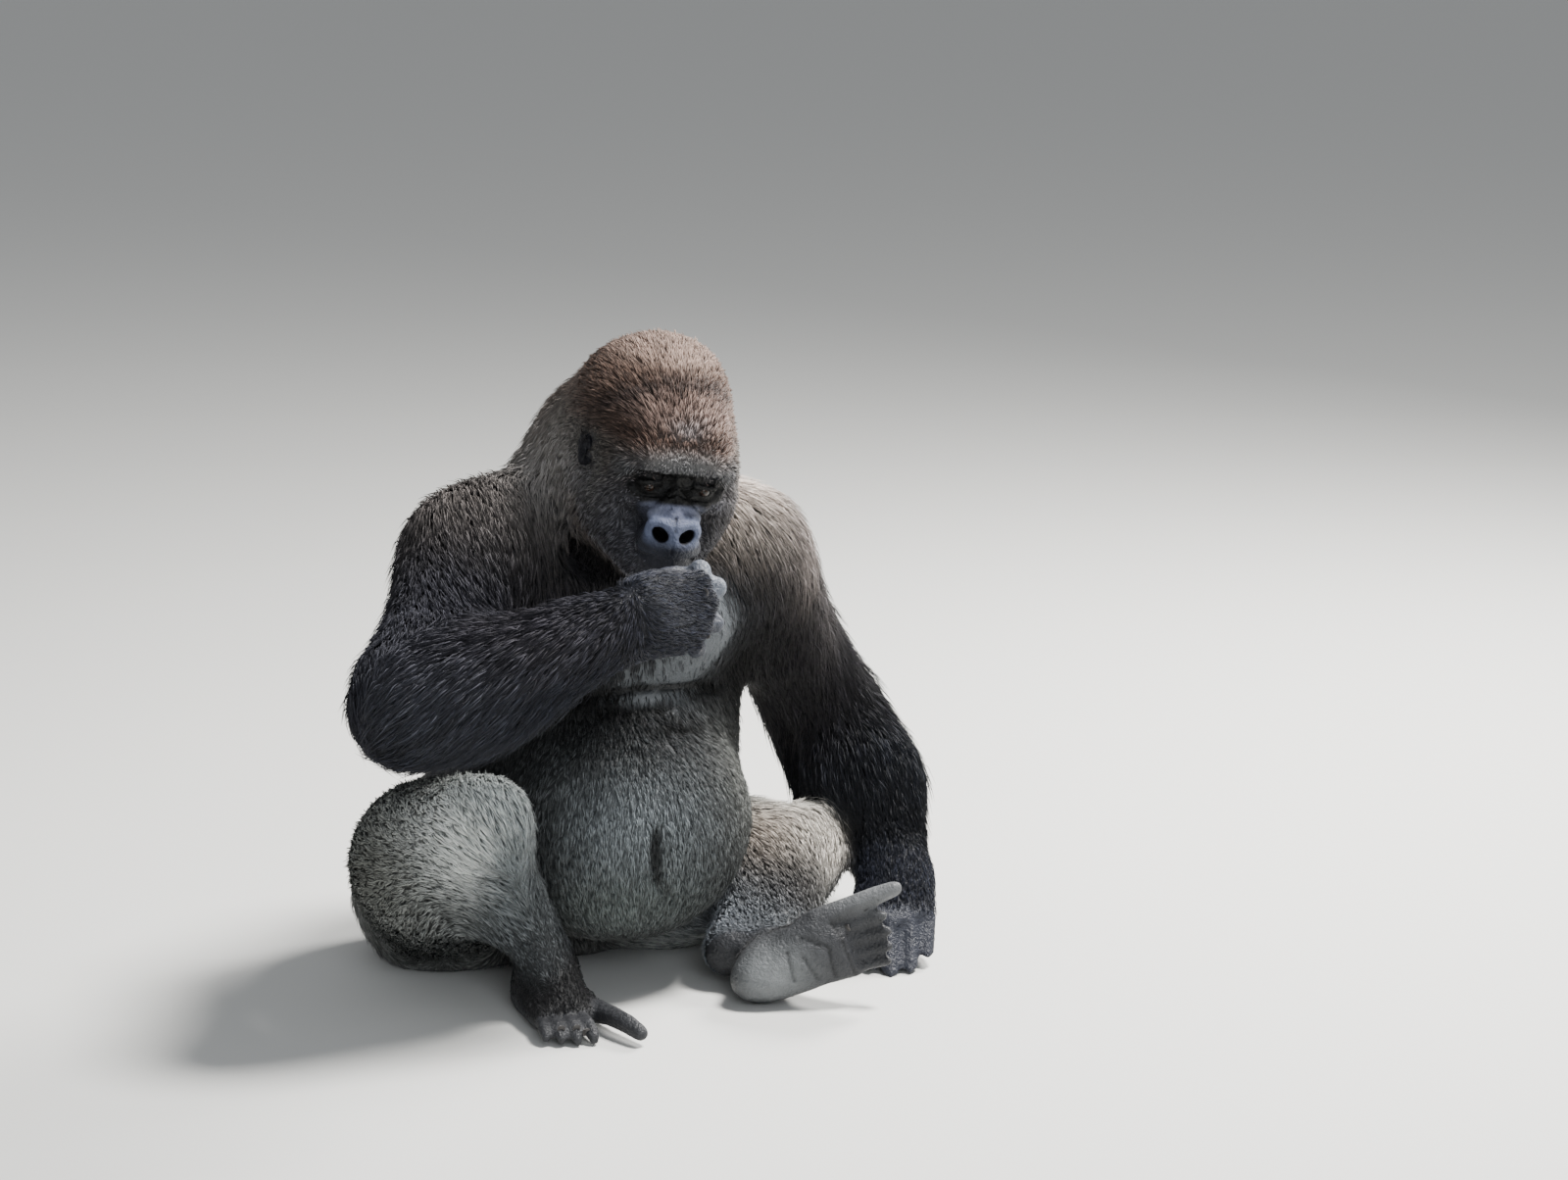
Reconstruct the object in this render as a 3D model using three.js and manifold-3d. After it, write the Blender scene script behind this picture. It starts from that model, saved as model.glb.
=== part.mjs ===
// A life-size model of a seated silverback western lowland gorilla, head propped on its right fist.
// Millimetres, +Z up. The animal faces -Y, and its left side is +X. The origin is on the floor,
// under the middle of the rump. Every form includes the depth of the coat.
//
// Each body part is a soft blend of eggs and tapered limbs. The blend is turned into a closed mesh,
// and neighbours are then parted by thin plane cuts, so the outline runs on from part to part.
import * as THREE from 'three';
import { mergeVertices } from 'three/addons/utils/BufferGeometryUtils.js';
import Module from 'manifold-3d';

const wasm = await Module();
wasm.setup();

const v = (x, y, z) => new THREE.Vector3(x, y, z);
const degrees = THREE.MathUtils.degToRad;
const SIDES = { right: -1, left: 1 };

// ---------------------------------------------------------------- driving dimensions

const GAP = 0.5; // width of a cut between two neighbours
const TOUCH_GAP = 0.8; // how far a part stays off another part that it presses on
const BODY_CELL = 61; // mesh size on the trunk and limbs
const SHIN_CELL = 44;
const NECK_CELL = 48;
const HEAD_CELL = 30.4;
const PALM_CELL = 29;
const EAR_CELL = 11;
const DIGIT_SIDES = 6;

const BODY_BLEND = 20; // softness of the blend between the forms of the trunk and limbs
const FINE_BLEND = 9; // and close to the head, hands and feet
const FINE_REACH = 130; // how far from their middles the blend stays fine
const FADE_REACH = 260;

const HIP = { right: v(-120, -8, 122), left: v(120, 12, 122) };
const KNEE = { right: v(-182, -338, 314), left: v(431, -148, 152) };
const ANKLE = { right: v(-68, -312, 86), left: v(292, -376, 58) };
const SHOULDER = { right: v(-111, -136, 680), left: v(334, -140, 652) };
const ELBOW = { right: v(-321, -424, 532), left: v(562, 6, 328) };
const WRIST = { right: v(8, -508, 651), left: v(572, -226, 118) };
const NAPE = v(128, -60, 740);
const WAIST = v(62, 0, 370);

const UPPER_ARM_RADIUS = { shoulder: 112, elbow: 88 };
const FOREARM_RADIUS = { elbow: 98, wrist: 56 };
const FRINGE = { // the long hair below the forearm
  right: { along: 0.28, drop: v(6, 0, -26), radius: 88 },
  left: { along: 0.46, drop: v(8, 2, 0), radius: 112 },
};
const THIGH_RADIUS = { hip: 148, knee: { right: 82, left: 84 } };
const SHIN_RADIUS = { knee: { right: 54, left: 72 }, ankle: 42 };

const HEAD_CENTRE = v(142, -303, 844); // midway between the ear openings
const HEAD_TURN = -12; // degrees, towards its right
const HEAD_NOD = 13; // degrees, downwards
const HEAD_LEAN = 8; // degrees, towards its left shoulder

const EYE = { across: 42, forward: 94, up: -8, radius: 12 };
const SOCKET_MOUTH = { radius: 18, forward: 46 }; // the socket's opening, ahead of the eye's middle
const EAR = { up: 4, height: 31, width: 20, depth: 15 };
const EAR_PLACE = { // the left ear lies deeper in the hair
  right: { forward: -4, across: 122 },
  left: { forward: -22, across: 106 },
};
const MOUTH = { forward: 140, up: -106 };

// Each finger's knuckle lies along the hand from the wrist, on the thumb's or the outer half of the palm.
const FINGERS = [
  { name: 'index', half: 'thumb', along: 105, across: 50, reach: 0.93, radius: 17 },
  { name: 'middle', half: 'thumb', along: 119, across: 17, reach: 1.0, radius: 17 },
  { name: 'ring', half: 'outer', along: 109, across: -17, reach: 0.96, radius: 16.5 },
  { name: 'little', half: 'outer', along: 91, across: -47, reach: 0.82, radius: 14.5 },
];
const KNUCKLE_SLOPES = { thumb: 14 / 33, outer: -18 / 30 }; // how each half of their line falls back
const FINGER_BONES = [62, 44, 29];

const THUMB = { bones: [38, 34, 28], radii: [19, 17, 15, 12] };

const TOES = [
  { name: 'toe_2', across: 25, reach: 1.0, radius: 11.5 },
  { name: 'toe_3', across: 1.5, reach: 0.99, radius: 11 },
  { name: 'toe_4', across: -20.5, reach: 0.9, radius: 10.5 },
  { name: 'toe_5', across: -41.5, reach: 0.76, radius: 10 },
];
const TOE_BASE = 122; // ankle to the roots of the toes, along the foot
const TOE_BONES = [30, 22, 16];

const BIG_TOE = { bones: [56, 46, 36], radii: [22, 18, 16.5, 13.5] };

// ---------------------------------------------------------------- forms and their fields

// A form's field is its signed distance: negative inside, positive outside.

// A limb of round section that runs from one point to another.
function limb(from, to, fromRadius, toRadius) {
  const along = to.clone().sub(from);
  const lengthSquared = along.lengthSq();
  const field = (x, y, z) => {
    const [px, py, pz] = [x - from.x, y - from.y, z - from.z];
    const share = (px * along.x + py * along.y + pz * along.z) / lengthSquared;
    const t = Math.min(1, Math.max(0, share));
    const away = Math.hypot(px - t * along.x, py - t * along.y, pz - t * along.z);
    return away - (fromRadius + t * (toRadius - fromRadius));
  };
  const box = new THREE.Box3(from.clone().subScalar(fromRadius), from.clone().addScalar(fromRadius));
  box.union(new THREE.Box3(to.clone().subScalar(toRadius), to.clone().addScalar(toRadius)));
  return { field, box };
}

// An egg with three radii, turned by a quaternion.
function egg(centre, radii, turn = new THREE.Quaternion()) {
  const back = new THREE.Matrix4().makeRotationFromQuaternion(turn.clone().invert()).elements;
  const field = (x, y, z) => {
    const [px, py, pz] = [x - centre.x, y - centre.y, z - centre.z];
    const a = (back[0] * px + back[4] * py + back[8] * pz) / radii.x;
    const b = (back[1] * px + back[5] * py + back[9] * pz) / radii.y;
    const c = (back[2] * px + back[6] * py + back[10] * pz) / radii.z;
    const scaled = Math.hypot(a, b, c);
    const steepness = Math.hypot(a / radii.x, b / radii.y, c / radii.z);
    if (steepness < 1e-9) return -Math.min(radii.x, radii.y, radii.z);
    return (scaled * (scaled - 1)) / steepness;
  };
  const reach = Math.max(radii.x, radii.y, radii.z);
  const box = new THREE.Box3(centre.clone().subScalar(reach), centre.clone().addScalar(reach));
  return { field, box };
}

// The middles of the head, hands and feet, near which the blend is finer.
const fineMiddles = [];

// The softness depends on the place alone, so that neighbours agree on it where they meet.
function softnessAt(x, y, z) {
  let nearest = FADE_REACH;
  for (const middle of fineMiddles) {
    nearest = Math.min(nearest, Math.hypot(x - middle.x, y - middle.y, z - middle.z));
  }
  const away = Math.max(nearest, FINE_REACH);
  return THREE.MathUtils.mapLinear(away, FINE_REACH, FADE_REACH, FINE_BLEND, BODY_BLEND);
}

// The soft blend of many forms. Hollows are forms taken away from the blend.
function blend(forms, hollows = []) {
  return (x, y, z) => {
    const softness = softnessAt(x, y, z);
    const values = forms.map((form) => form.field(x, y, z));
    const nearest = Math.min(...values);
    let sum = 0;
    for (const value of values) sum += Math.exp((nearest - value) / softness);
    let result = nearest - softness * Math.log(sum);
    for (const hollow of hollows) result = Math.max(result, -hollow.field(x, y, z));
    return result;
  };
}

// ---------------------------------------------------------------- from a field to a closed mesh

// A grid cell's corners, numbered by their bits, and the pairs of them that an edge joins.
const CORNERS = [0, 1, 2, 3, 4, 5, 6, 7].map((c) => [c & 1, (c >> 1) & 1, (c >> 2) & 1]);
const EDGES = CORNERS.flatMap((_, c) =>
  [1, 2, 4].filter((bit) => !(c & bit)).map((bit) => [c, c | bit]),
);

// True if the marked corners of a cell all join each other along its edges.
function joined(mask) {
  const start = CORNERS.findIndex((_, c) => mask & (1 << c));
  if (start < 0) return true;
  let reached = 1 << start;
  for (let pass = 0; pass < 7; pass++) {
    for (const [a, b] of EDGES) {
      const both = (1 << a) | (1 << b);
      if ((mask & both) === both && reached & both) reached |= both;
    }
  }
  return reached === mask;
}
const ALL_OUTSIDE = 0;
const ALL_INSIDE = 255;
const SIMPLE_CELL = Array.from({ length: 256 }, (_, mask) => joined(mask) && joined(ALL_INSIDE ^ mask));
const JUST_INSIDE = -0.02; // the value of a filled corner, in cells
const SLOPE_STEP = 0.05; // how far apart a slope is measured, in cells
const STRAY = 0.45; // how far a vertex may move along the slope, in cells

// Visits the grid's points from the first one on, as many along each axis as the extent says.
function eachPoint({ step }, extent, visit) {
  for (let k = 0; k < extent[2]; k++) {
    for (let j = 0; j < extent[1]; j++) {
      for (let i = 0; i < extent[0]; i++) visit([i, j, k], i * step[0] + j * step[1] + k * step[2]);
    }
  }
}

// A field's values on a grid of cubic cells around a box, positive all over the outer layer.
function gridOf(field, box, cell) {
  const low = box.min.toArray().map((c) => Math.floor(c / cell) - 2);
  const size = box.max.toArray().map((c, axis) => Math.ceil(c / cell) + 3 - low[axis]);
  const step = [1, size[0], size[0] * size[1]];
  const cornerStep = CORNERS.map(([i, j, k]) => i * step[0] + j * step[1] + k * step[2]);
  const values = new Float64Array(size[0] * size[1] * size[2]);
  const grid = { cell, low, size, step, cornerStep, values, cells: size.map((n) => n - 1) };
  eachPoint(grid, size, (place, at) => {
    const edge = place.some((n, axis) => n === 0 || n === size[axis] - 1);
    values[at] = edge ? cell : field(...place.map((n, axis) => (low[axis] + n) * cell));
  });
  return grid;
}

function maskAt({ values, cornerStep }, at) {
  return cornerStep.reduce((mask, offset, c) => mask | (values[at + offset] < 0 ? 1 << c : 0), 0);
}

// A cell that two sheets would cross is filled corner by corner until one sheet is left.
function simplify(grid) {
  const { values, cornerStep, cell } = grid;
  let filled = true;
  while (filled) {
    filled = false;
    eachPoint(grid, grid.cells, (_, at) => {
      if (SIMPLE_CELL[maskAt(grid, at)]) return;
      const outside = cornerStep.map((offset) => at + offset).filter((n) => values[n] >= 0);
      const nearest = outside.reduce((best, n) => (values[n] < values[best] ? n : best));
      values[nearest] = JUST_INSIDE * cell;
      filled = true;
    });
  }
}

// The middle of the places where the surface crosses a cell's edges.
function crossingMiddle({ values, cornerStep, low, cell }, place, at) {
  const total = v(0, 0, 0);
  let crossings = 0;
  for (const [a, b] of EDGES) {
    const from = values[at + cornerStep[a]];
    const to = values[at + cornerStep[b]];
    if (from < 0 === to < 0) continue;
    total.add(v(...CORNERS[a]).lerp(v(...CORNERS[b]), from / (from - to)));
    crossings++;
  }
  return total.divideScalar(crossings).add(v(...low)).add(v(...place)).multiplyScalar(cell).toArray();
}

// The closed surface where a field is zero, as one vertex in each cell that the surface crosses.
// Swelling moves every vertex out by that much.
function surface(field, box, cell, swelling) {
  const grid = gridOf(field, box, cell);
  simplify(grid);
  const { values, step } = grid;
  const vertexOf = new Int32Array(values.length).fill(-1);
  const positions = [];
  eachPoint(grid, grid.cells, (place, at) => {
    const mask = maskAt(grid, at);
    if (mask === ALL_OUTSIDE || mask === ALL_INSIDE) return;
    vertexOf[at] = positions.length / 3;
    const point = settled(field, crossingMiddle(grid, place, at), cell);
    const outward = slopeAt(field, point, SLOPE_STEP * cell).normalize();
    positions.push(...outward.multiplyScalar(swelling).add(v(...point)).toArray());
  });

  const triangles = [];
  eachPoint(grid, grid.cells, (_, at) => {
    for (const axis of [0, 1, 2]) {
      const inside = values[at] < 0;
      if (inside === values[at + step[axis]] < 0) continue;
      const s = step[(axis + 1) % 3];
      const t = step[(axis + 2) % 3];
      const ring = [at - s - t, at - t, at, at - s].map((n) => vertexOf[n]);
      if (!inside) ring.reverse();
      triangles.push(ring[0], ring[1], ring[2], ring[0], ring[2], ring[3]);
    }
  });
  return solidFrom(new Float32Array(positions), new Uint32Array(triangles));
}

function slopeAt(field, [x, y, z], step) {
  return v(
    field(x + step, y, z) - field(x - step, y, z),
    field(x, y + step, z) - field(x, y - step, z),
    field(x, y, z + step) - field(x, y, z - step),
  ).divideScalar(2 * step);
}

// Moves a point onto the surface along the field's slope, by at most half a cell.
function settled(field, start, cell) {
  const limit = STRAY * cell;
  let place = start;
  for (let pass = 0; pass < 2; pass++) {
    const slope = slopeAt(field, place, SLOPE_STEP * cell);
    const stride = field(...place) / Math.max(0.3, slope.lengthSq());
    place = slope.toArray().map((s, axis) => {
      const moved = place[axis] - stride * s;
      return Math.min(start[axis] + limit, Math.max(start[axis] - limit, moved));
    });
  }
  return place;
}

// ---------------------------------------------------------------- solids from meshes and shapes

function solidFrom(vertProperties, triVerts) {
  return new wasm.Manifold(new wasm.Mesh({ numProp: 3, vertProperties, triVerts }));
}

function solidOf(geometry) {
  geometry.deleteAttribute('normal');
  geometry.deleteAttribute('uv');
  const merged = mergeVertices(geometry, 1e-3);
  const positions = new Float32Array(merged.getAttribute('position').array);
  return solidFrom(positions, new Uint32Array(merged.index.array));
}

// A tapered tube through a line of joints. Its rings halve the bends, and its far end is domed.
function tube(joints, radii, baseNormal, sides) {
  const last = joints.length - 1;
  const direction = (i) => joints[i + 1].clone().sub(joints[i]).normalize();
  const tip = direction(last - 1);
  const rings = joints.map((centre, i) => {
    const along = i === 0 ? direction(0) : direction(i - 1);
    let normal = i === last ? tip : direction(i).add(along).normalize();
    if (i === 0) normal = baseNormal;
    return { centre, normal, along, radius: radii[i] };
  });
  const dome = joints[last].clone().addScaledVector(tip, 0.66 * radii[last]);
  rings.push({ centre: dome, normal: tip, along: tip, radius: 0.7 * radii[last] });

  const places = [];
  const across = joints[1].clone().sub(joints[0]).cross(joints[last].clone().sub(joints[0]));
  const side = across.lengthSq() > 1 ? across.normalize() : v(0, 0, 1).cross(tip).normalize();
  for (const { centre, normal, along, radius } of rings) {
    const raised = side.clone().cross(along).normalize();
    for (let i = 0; i < sides; i++) {
      const angle = (2 * Math.PI * (i + 0.5)) / sides;
      const spoke = side.clone().multiplyScalar(radius * Math.cos(angle));
      spoke.addScaledVector(raised, radius * Math.sin(angle));
      spoke.addScaledVector(along, -spoke.dot(normal) / along.dot(normal)); // slid onto the ring's plane
      places.push(...centre.clone().add(spoke).toArray());
    }
  }
  const far = joints[last].clone().addScaledVector(tip, radii[last]);
  places.push(...joints[0].toArray(), ...far.toArray());

  const base = rings.length * sides;
  const triangles = [];
  for (let i = 0; i < sides; i++) {
    const next = (i + 1) % sides;
    for (let ring = 0; ring < rings.length - 1; ring++) {
      const [a, b] = [ring * sides + i, ring * sides + next];
      triangles.push(a, b + sides, b, a, a + sides, b + sides);
    }
    triangles.push(base, i, next, base + 1, base - sides + next, base - sides + i);
  }
  return solidFrom(new Float32Array(places), new Uint32Array(triangles));
}

// ---------------------------------------------------------------- local frames

// A frame with its own forward, side and up directions, and a place.
function frameAt(origin, forward, up, sideSign = 1) {
  const f = forward.clone().normalize();
  const u = up.clone().addScaledVector(f, -up.dot(f)).normalize();
  const s = u.clone().cross(f).multiplyScalar(sideSign);
  const turn = new THREE.Quaternion().setFromRotationMatrix(
    new THREE.Matrix4().makeBasis(u.clone().cross(f), f.clone().negate(), u),
  );
  const at = (along, across, above) =>
    origin.clone().addScaledVector(f, along).addScaledVector(s, across).addScaledVector(u, above);
  return { at, turn, forward: f, side: s, up: u };
}

const headTurn = new THREE.Quaternion().setFromEuler(
  new THREE.Euler(degrees(HEAD_NOD), degrees(HEAD_LEAN), degrees(HEAD_TURN), 'ZYX'),
);
const head = frameAt(
  HEAD_CENTRE,
  v(0, -1, 0).applyQuaternion(headTurn),
  v(0, 0, 1).applyQuaternion(headTurn),
);
const headEgg = (forward, across, up, radii) => egg(head.at(forward, across, up), radii, head.turn);
const headLimb = (from, to, fromRadius, toRadius) =>
  limb(head.at(...from), head.at(...to), fromRadius, toRadius);
const bothSides = (make) => [make(-1), make(1)];

// ---------------------------------------------------------------- forms of the trunk and limbs

function chestForms() {
  const lean = new THREE.Quaternion().setFromEuler(new THREE.Euler(degrees(14), degrees(12), 0));
  return [
    egg(v(118, -68, 555), v(222, 172, 212), lean),
    egg(v(128, 8, 625), v(185, 118, 125), lean),
    egg(v(24, -200, 582), v(112, 74, 92), lean),
    egg(v(204, -206, 570), v(96, 74, 92), lean),
    limb(NAPE, v(-52, -112, 706), 88, 84),
    limb(NAPE, v(298, -128, 682), 88, 84),
  ];
}

function abdomenForms() {
  return [
    egg(v(102, -188, 255), v(216, 206, 190)),
    egg(v(84, -66, 396), v(208, 168, 156)),
    limb(WAIST.clone().add(v(0, 50, 0)), v(98, 30, 510), 135, 150),
    limb(v(258, -76, 490), v(262, -100, 380), 84, 90), // left flank, spread by the lean
  ];
}

function pelvisForms() {
  return [
    egg(v(-98, 62, 118), v(142, 142, 142)),
    egg(v(98, 70, 118), v(142, 142, 142)),
    limb(v(8, 82, 176), WAIST.clone().add(v(-10, 50, -50)), 138, 138),
    egg(v(20, -60, 106), v(120, 110, 90)),
  ];
}

function neckForms() {
  return [
    egg(v(124, -124, 826), v(98, 120, 128)), // the nape, which rises to the crown
    limb(v(124, -124, 826), head.at(-56, 0, 66), 98, 92),
    limb(v(108, -140, 832), head.at(-48, -54, 70), 97, 95), // the thick nape beside the crest
    limb(v(128, -84, 738), head.at(-60, 0, -20), 140, 104),
    limb(v(118, -190, 675), head.at(10, 0, -100), 100, 72),
  ];
}

function upperArmForms(side) {
  const cap = SHOULDER[side].clone().lerp(ELBOW[side], 0.04);
  return [
    egg(cap, v(112, 112, 116)),
    limb(SHOULDER[side], ELBOW[side], UPPER_ARM_RADIUS.shoulder - 12, UPPER_ARM_RADIUS.elbow),
  ];
}

function forearmForms(side) {
  const { along, drop, radius } = FRINGE[side];
  const belly = ELBOW[side].clone().lerp(WRIST[side], along).add(drop);
  return [
    limb(ELBOW[side], WRIST[side], FOREARM_RADIUS.elbow - 8, FOREARM_RADIUS.wrist),
    limb(belly, WRIST[side].clone().lerp(belly, 0.35), radius, 62),
  ];
}

function thighForms(side) {
  const spread = side === 'right' ? v(-42, 0, 6) : v(0, 0, -6);
  const middle = HIP[side].clone().lerp(KNEE[side], 0.45).add(spread);
  return [
    limb(HIP[side], middle, THIGH_RADIUS.hip - 14, THIGH_RADIUS.hip - 26),
    limb(middle, KNEE[side], THIGH_RADIUS.hip - 26, THIGH_RADIUS.knee[side]),
  ];
}

function shinForms(side) {
  const calf = side === 'right' ? v(-30, 50, 0) : v(-72, 22, -14);
  const girth = side === 'right' ? 46 : 54;
  return [
    limb(KNEE[side], ANKLE[side], SHIN_RADIUS.knee[side], SHIN_RADIUS.ankle),
    limb(
      KNEE[side].clone().lerp(ANKLE[side], 0.25).addScaledVector(calf, 0.8),
      KNEE[side].clone().lerp(ANKLE[side], 0.8).add(calf),
      girth,
      girth - 4,
    ),
  ];
}

// ---------------------------------------------------------------- forms of the head

// Places are forward, across and up from the middle of the head.
function headForms() {
  return [
    headEgg(-34, -10, 81, v(94, 113, 97)), // dome, with the crest's pad on top
    headEgg(-14, 0, 20, v(106, 108, 90)), // braincase
    headLimb([98, -50, 38], [98, 50, 38], 19, 19), // brow ridge
    headEgg(52, 0, 70, v(74, 52, 50)), // low forehead
    headEgg(56, 0, -26, v(62, 50, 58)), // mid-face
    headLimb([92, 0, 10], [116, 0, -54], 15, 20), // bridge of the nose
    headEgg(104, 0, -90, v(50, 40, 32)), // upper lip
    ...bothSides((s) => headLimb([90, 48 * s, 36], [56, 84 * s, 20], 18, 18)), // outer end of the brow
    ...bothSides((s) => headEgg(58, 66 * s, -26, v(30, 34, 26))), // cheekbone
    ...bothSides((s) => headEgg(4, 72 * s, -50, v(46, 56, 74))), // cheek and its whiskers
    ...bothSides((s) => headEgg(126, 23 * s, -68, v(20, 18, 16))), // wing of the nose
  ];
}

function nostril(s) {
  const from = head.at(154, 11 * s, -71);
  const to = head.at(124, 19 * s, -62);
  return rod(from, to, 9, 6, 6);
}

function jawForms() {
  return [
    headEgg(92, 0, -136, v(44, 42, 30)), // chin and lower lip
    ...bothSides((s) => headLimb([84, 22 * s, -138], [0, 62 * s, -92], 27, 42)), // side of the jaw
    headEgg(36, 0, -120, v(66, 58, 36)), // throat
  ];
}

function earForms(side) {
  const { forward, across } = EAR_PLACE[side];
  return [headEgg(forward, across * SIDES[side], EAR.up, v(EAR.depth, EAR.width, EAR.height))];
}

function earBowl(side) {
  const { forward, across } = EAR_PLACE[side];
  const radii = v(EAR.depth - 2, EAR.width - 7, EAR.height - 9);
  return headEgg(forward + 4, (across + 8) * SIDES[side], EAR.up + 2, radii);
}

// ---------------------------------------------------------------- forms of the hands and feet

// The joints of a digit whose every bone is bent further towards the palm than the one before it.
function digitJoints(frame, root, spread, bones, bends) {
  const joints = [frame.at(...root)];
  let bend = 0;
  bones.forEach((length, i) => {
    bend += degrees(bends[i]);
    const direction = frame.forward
      .clone()
      .multiplyScalar(Math.cos(bend))
      .addScaledVector(frame.up, -Math.sin(bend))
      .addScaledVector(frame.side, spread)
      .normalize();
    joints.push(joints[i].clone().addScaledVector(direction, length));
  });
  return joints;
}

// The direction that halves the bend at the roots of the fingers on one half of the palm.
function rootNormal({ frame, bends }, half) {
  const bend = degrees(bends[0] / 2);
  return frame.forward
    .clone()
    .multiplyScalar(Math.cos(bend))
    .addScaledVector(frame.up, -Math.sin(bend))
    .addScaledVector(frame.side, KNUCKLE_SLOPES[half] * Math.cos(bend))
    .normalize();
}

// Along the hand runs from the wrist to the knuckles, across points to the thumb, and up is the back.
const HANDS = {
  right: {
    frame: frameAt(WRIST.right, v(0.98, 0.1, -0.06), v(-0.12, -0.95, 0.16), 1),
    bends: [62, 84, 48],
    thumb: { root: [36, 48, -24], direction: [0.92, 0.22, -0.32], bends: [0, 12, 16] },
  },
  left: {
    frame: frameAt(WRIST.left, v(-0.34, -0.8, -0.5), v(-0.12, -0.5, 0.86), -1),
    bends: [20, 128, 50],
    thumb: { root: [32, 46, -22], direction: [0.9, 0.3, -0.25], bends: [0, 14, 18] },
  },
};

function palmForms({ frame }) {
  return [
    limb(frame.at(-18, 0, 0), frame.at(26, 0, 0), 48, 42),
    ...FINGERS.map(({ along, across, radius }) =>
      limb(frame.at(16, across * 0.62, 0), frame.at(along, across, 0), 30, radius + 3),
    ),
    limb(frame.at(18, 26, -14), frame.at(46, 50, -22), 25, 21),
  ];
}

function finger(hand, { half, along, across, reach, radius }) {
  const bones = FINGER_BONES.map((bone) => bone * reach);
  const joints = digitJoints(hand.frame, [along, across, 0], -across * 0.0012, bones, hand.bends);
  const normal = rootNormal(hand, half);
  joints[0].addScaledVector(normal, GAP);
  return tube(joints, [radius, 0.98 * radius, 0.95 * radius, 0.8 * radius], normal, DIGIT_SIDES);
}

function thumb({ frame, thumb: { root, direction, bends } }) {
  const along = frame.at(...direction).sub(frame.at(0, 0, 0));
  const own = frameAt(frame.at(...root), along, frame.side);
  const joints = digitJoints(own, [0, 0, 0], 0, THUMB.bones, bends);
  return tube(joints, THUMB.radii, own.forward, DIGIT_SIDES);
}

// Along the foot runs from the ankle to the toes, across points to the big toe, and up is its top.
const FEET = {
  right: frameAt(ANKLE.right, v(-0.14, -1, 0), v(0, 0, 1), 1),
  left: frameAt(ANKLE.left, v(0.84, -0.44, 0.34), v(0.42, 0.9, -0.06), -1),
};
const SOLE_DEPTH = 62; // ankle to the middle of the sole's thickness

function footForms(side) {
  const foot = FEET[side];
  const sole = -SOLE_DEPTH;
  return [
    limb(foot.at(-34, -6, sole + 2), foot.at(4, 0, -26), 40, 44),
    limb(foot.at(0, 2, -24), foot.at(84, 6, sole + 14), 42, 30),
    ...TOES.map(({ across, radius }) =>
      limb(foot.at(-10, across * 0.4, sole), foot.at(TOE_BASE, across, sole), 29, radius + 5),
    ),
    limb(foot.at(32, 22, sole), foot.at(76, 48, sole), 27, 23),
  ];
}

function toe(side, { across, reach, radius }) {
  const foot = FEET[side];
  const bones = TOE_BONES.map((bone) => bone * reach);
  const root = [TOE_BASE + GAP, across, -SOLE_DEPTH];
  const joints = digitJoints(foot, root, across * 0.001, bones, [-4, 20, 22]);
  return tube(joints, [radius, 0.96 * radius, radius, 0.82 * radius], foot.forward, DIGIT_SIDES);
}

function bigToe(side) {
  const foot = FEET[side];
  const spread = side === 'left' ? 0.08 : 0.34;
  const joints = digitJoints(foot, [80, 48, -SOLE_DEPTH], spread, BIG_TOE.bones, [-4, 6, 8]);
  return tube(joints, BIG_TOE.radii, foot.forward, DIGIT_SIDES);
}

// ---------------------------------------------------------------- the list of parts

const FUR = { black: 0x1d1b1e, brown: 0x3a2a24, grey: 0x55524f, silver: 0x8f8b86 };
const SKIN = 0x34343b;

const parts = new Map();
function part(name, group, forms, { cell = BODY_CELL, beside = [], hollows = [], colour }) {
  parts.set(name, { name, group, forms, cell, beside, hollows, colour, cuts: [] });
}

const ARMS = ['upper_arm_right', 'upper_arm_left'];
part('chest', 'torso', chestForms(), { beside: ['neck', 'abdomen', ...ARMS], colour: FUR.grey });
part('abdomen', 'torso', abdomenForms(), { beside: ['chest', 'pelvis'], colour: FUR.grey });
part('pelvis', 'torso', pelvisForms(), {
  beside: ['abdomen', 'thigh_right', 'thigh_left'], colour: FUR.silver,
});
part('neck', 'torso', neckForms(), {
  cell: NECK_CELL, beside: ['chest', 'head', 'jaw', ...ARMS], colour: FUR.brown,
});
part('head', 'head', headForms(), { cell: HEAD_CELL, beside: ['neck', 'jaw'], colour: FUR.brown });
part('jaw', 'head', jawForms(), { cell: HEAD_CELL, beside: ['neck', 'head'], colour: FUR.grey });
for (const side of Object.keys(SIDES)) {
  part(`ear_${side}`, 'head', earForms(side), {
    cell: EAR_CELL, hollows: [earBowl(side)], colour: SKIN,
  });
  part(`upper_arm_${side}`, `arm_${side}`, upperArmForms(side), {
    beside: ['chest', 'neck', `forearm_${side}`], colour: FUR.black,
  });
  part(`forearm_${side}`, `arm_${side}`, forearmForms(side), {
    beside: [`upper_arm_${side}`, `hand_${side}`], colour: FUR.black,
  });
  part(`hand_${side}`, `arm_${side}`, palmForms(HANDS[side]), {
    cell: PALM_CELL, beside: [`forearm_${side}`], colour: SKIN,
  });
  part(`thigh_${side}`, `leg_${side}`, thighForms(side), {
    beside: [`shin_${side}`], colour: FUR.silver,
  });
  part(`shin_${side}`, `leg_${side}`, shinForms(side), {
    cell: SHIN_CELL, beside: [`thigh_${side}`, `foot_${side}`], colour: FUR.grey,
  });
  part(`foot_${side}`, `leg_${side}`, footForms(side), {
    cell: PALM_CELL, beside: [`shin_${side}`], colour: SKIN,
  });
}

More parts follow.
